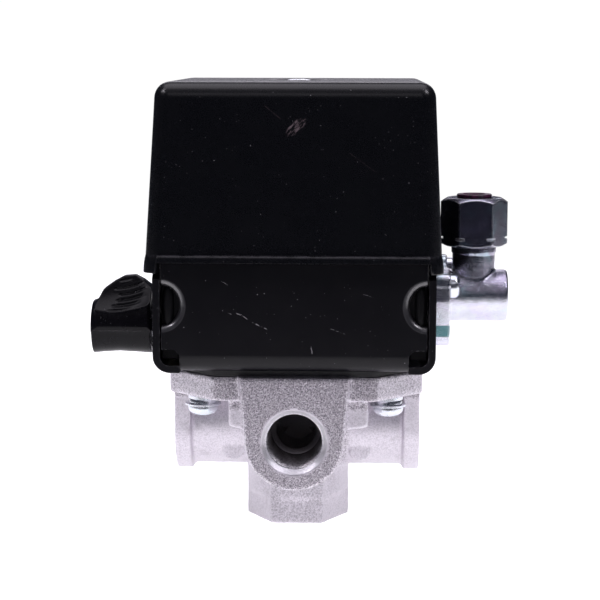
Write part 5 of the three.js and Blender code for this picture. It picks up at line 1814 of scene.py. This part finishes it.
def make_cover():
    # outer wall, bottom to top
    rings = [cover_ring(0.12 - FLARE, CORNER, COVER_LOW, LIP_Z, 0.36)]
    for share, up, side_up, lip in RIM:
        inset = -FLARE * (1 - share)
        rings.append(cover_ring(inset, CORNER, COVER_LOW + side_up, LIP_Z + up, lip))
    rings.append(cover_ring(0.0, CORNER, LIP_Z + 2.0))
    for z in (70, 76, 82, 88, 94, COVER_TOP - TOP_EDGE - 0.6, COVER_TOP - TOP_EDGE):
        rings.append(cover_ring(0.0, CORNER, z))
    for k in range(1, 10):  # the shell's corner stays round while the edge rolls over
        angle = pi / 2 * k / 9
        inset = TOP_EDGE * (1 - cos(angle))
        z = COVER_TOP - TOP_EDGE + TOP_EDGE * sin(angle)
        rings.append(cover_ring(inset, max(CORNER - inset, 0.55), z))
    # top face, from the rounded rectangle to the round well
    top = rings[-1]
    angles = [atan2(y, x) for x, y, _ in top]

    def circle(r, z):
        return [(r * cos(angle), r * sin(angle), z) for angle in angles]

    for share in (0.12, 0.3, 0.5, 0.7, 0.86):
        z = COVER_TOP + 0.06 * sin(pi * min(1, share * 1.4) / 2)
        ring = []
        for (x, y, _), angle in zip(top, angles):
            round_x, round_y = 7.0 * cos(angle) * share, 7.0 * sin(angle) * share
            ring.append((x * (1 - share) + round_x, y * (1 - share) + round_y, z))
        rings.append(ring)
    rings += [circle(r, z) for r, z in WELL]
    # ceiling and inner wall, top to bottom
    ceiling = COVER_TOP - WALL
    outer = cover_ring(WALL + INNER_ROUND, 0.8, ceiling)
    for share in (0.4, 0.75):
        rings.append([
            tuple(p * (1 - share) + q * share for p, q in zip(a, b))
            for a, b in zip(circle(8.6, ceiling), outer)
        ])
    for k in range(6, -1, -1):
        angle = pi / 2 * k / 6
        inset = WALL + INNER_ROUND * (1 - cos(angle))
        z = ceiling - INNER_ROUND + INNER_ROUND * sin(angle)
        rings.append(cover_ring(inset, max(2.5 - (inset - WALL), 0.55), z))
    for z in (94, 84, 76, 69.2):
        rings.append(cover_ring(WALL, 2.5, z))
    rings.append(slip_rim(68.9, 68.9))
    rings.append(slip_rim(COVER_LOW + 0.1, LIP_Z + 0.1))

    n = len(top)
    faces = []
    for i in range(len(rings)):
        a, b = i * n, ((i + 1) % len(rings)) * n
        for k in range(n):
            j = (k + 1) % n
            faces.append((a + k, a + j, b + j, b + k))
    part = build("cover_shell", sum(rings, []), faces)
    piece(part, "cover", "cover", angle=44)


# ==== CAD nodes that stay =========================================================================
def make_kept():
    keep("bridge", "zinc", 0.2)
    keep("cover_post", "zinc", 0.25)
    keep("contact_block", "phenolic", 0.28, 3)
    for k in range(1, 5):
        keep(f"terminal_{k}", "brass", 0.14)
    keep("contact_carrier", "carrier", 0.25, 3)
    keep("moving_contact_1", "silver", 0.12)
    keep("moving_contact_2", "silver", 0.12)
    keep("pressure_lever", "zinc", 0.2)
    keep("trip_lever", "yellow_zinc", 0.2)


# ==== stage, in metres ============================================================================
FLOOR_Z = -0.0003  # just under the tank port
FLOOR_X, FLOOR_FRONT, FLOOR_REAR = 0.42, -0.165, 0.55
DIM_STUDIO = (  # place from straight down (0) to straight up (1), colour
    (0.40, (0.028, 0.028, 0.038, 1)),
    (0.52, (0.022, 0.026, 0.042, 1)),
    (0.78, (0.03, 0.033, 0.048, 1)),
    (0.90, (0.25, 0.24, 0.28, 1)),
)
LIGHT_COLOR = (1.0, 0.955, 1.05)
LIGHTS = (  # name, location, target, size, power
    ("softbox_top", (0.0, 0.02, 0.78), (0, 0.0, 0), (0.85, 0.62), 2.7),
    ("key_left", (-0.50, -0.26, 0.60), (-0.01, 0, 0.07), (0.15, 0.15), 1.3),
    ("key_right", (0.50, -0.26, 0.60), (0.01, 0, 0.07), (0.15, 0.15), 1.3),
    ("front_fill", (0.0, -0.95, 0.62), (0, 0, 0.05), (0.5, 0.25), 0.4),
    ("rear_fill", (0.0, 0.85, 0.45), (0, 0, 0.05), (0.7, 0.3), 1.2),
)
CAMERA_PLACE = (0.01328, -0.4389, 0.10978)
CAMERA_AZIMUTH, CAMERA_DOWN, CAMERA_ROLL = radians(1.69), radians(7.566), radians(-0.14)


def make_floor():
    """Pale table top."""
    corners = [
        (-FLOOR_X, FLOOR_FRONT, FLOOR_Z), (FLOOR_X, FLOOR_FRONT, FLOOR_Z),
        (FLOOR_X, FLOOR_REAR, FLOOR_Z), (-FLOOR_X, FLOOR_REAR, FLOOR_Z),
    ]
    mesh = bpy.data.meshes.new("table_top")
    mesh.from_pydata(corners, [], [(0, 1, 2, 3)])
    floor = link(mesh, "table_top")
    pale = bpy.data.materials.new("pale_table")
    open_tree(pale)
    # it is overexposed to the camera, and lights the underside of the object less strongly
    seen = node("LightPath", output="Is Camera Ray")
    glow = node("MapRange", {"To Min": 0.68, "To Max": 0.80, "Value": seen})
    coords = node("TexCoord", output="Object")
    grain = node("TexNoise", {"Scale": 60, "Vector": coords})
    relief = node("Bump", {"Strength": 0.05, "Distance": 0.0002, "Height": grain})
    inputs = {
        "Base Color": (0.86, 0.86, 0.865), "Roughness": 0.7, "Emission Color": (1, 0.99, 1),
        "Emission Strength": glow, "Normal": relief,
    }
    for name, value in inputs.items():
        plug(tree.nodes["Principled BSDF"].inputs[name], value)
    mesh.materials.append(pale)


def make_world():
    """White to the camera, a dim studio to everything else."""
    world = bpy.data.worlds.new("studio")
    bpy.context.scene.world = world
    open_tree(world)
    tree.nodes.clear()
    _, _, up = separate(node("TexCoord", output="Generated"))
    height = node("MapRange", {"From Min": -1, "From Max": 1, "Value": up})
    shade = node("ValToRGB", {0: height})
    stops = shade.socket.node.color_ramp.elements
    stops[0].position, stops[0].color = 0.0, (0.10, 0.095, 0.105, 1)
    stops[1].position, stops[1].color = 1.0, (0.40, 0.385, 0.43, 1)
    for place_on_ramp, color in DIM_STUDIO:
        stops.new(place_on_ramp).color = color
    dim = node("Background", {0: shade, 1: 1.0})
    white = node("Background", {0: (1, 1, 1), 1: 1.02})
    seen = node("LightPath", output="Is Camera Ray")
    mixed = node("MixShader", {0: seen, 1: dim, 2: white})
    plug(tree.nodes.new("ShaderNodeOutputWorld").inputs[0], mixed)


def make_lights():
    for name, location, target, size, power in LIGHTS:
        light = bpy.data.lights.new(name, "AREA")
        light.shape, light.size, light.size_y = "RECTANGLE", *size
        light.energy, light.color = power, LIGHT_COLOR
        lamp = link(light, name)
        lamp.visible_camera = False
        lamp.location = location
        lamp.rotation_mode = "QUATERNION"
        aim = Vector(target) - Vector(location)
        lamp.rotation_quaternion = aim.to_track_quat("-Z", "Y")


def make_camera():
    lens = bpy.data.cameras.new("camera")
    lens.sensor_width, lens.lens = 36.0, 112.4
    lens.clip_start, lens.clip_end = 0.01, 10
    camera = link(lens, "camera")
    camera.location = CAMERA_PLACE
    level = cos(CAMERA_DOWN)
    forward = Vector(
        (-sin(CAMERA_AZIMUTH) * level, cos(CAMERA_AZIMUTH) * level, -sin(CAMERA_DOWN))
    )
    camera.rotation_mode = "QUATERNION"
    aim = forward.to_track_quat("-Z", "Y").to_matrix().to_4x4()
    camera.rotation_quaternion = (turn(CAMERA_ROLL, forward) @ aim).to_quaternion()
    bpy.context.scene.camera = camera


def make_stage():
    view = bpy.context.scene.view_settings
    view.view_transform = "Standard"
    view.look = "None"
    view.exposure = 0.0
    view.gamma = 1.0
    make_floor()
    make_world()
    make_lights()
    make_camera()


make_manifold()
make_diaphragm()
make_frame()
make_corner_insulators()
make_grommets()
make_screws()
make_adjusters()
make_pins()
make_knob()
make_valve_body()
make_compression_joint()
make_poppet()
make_cover()
make_kept()
make_stage()
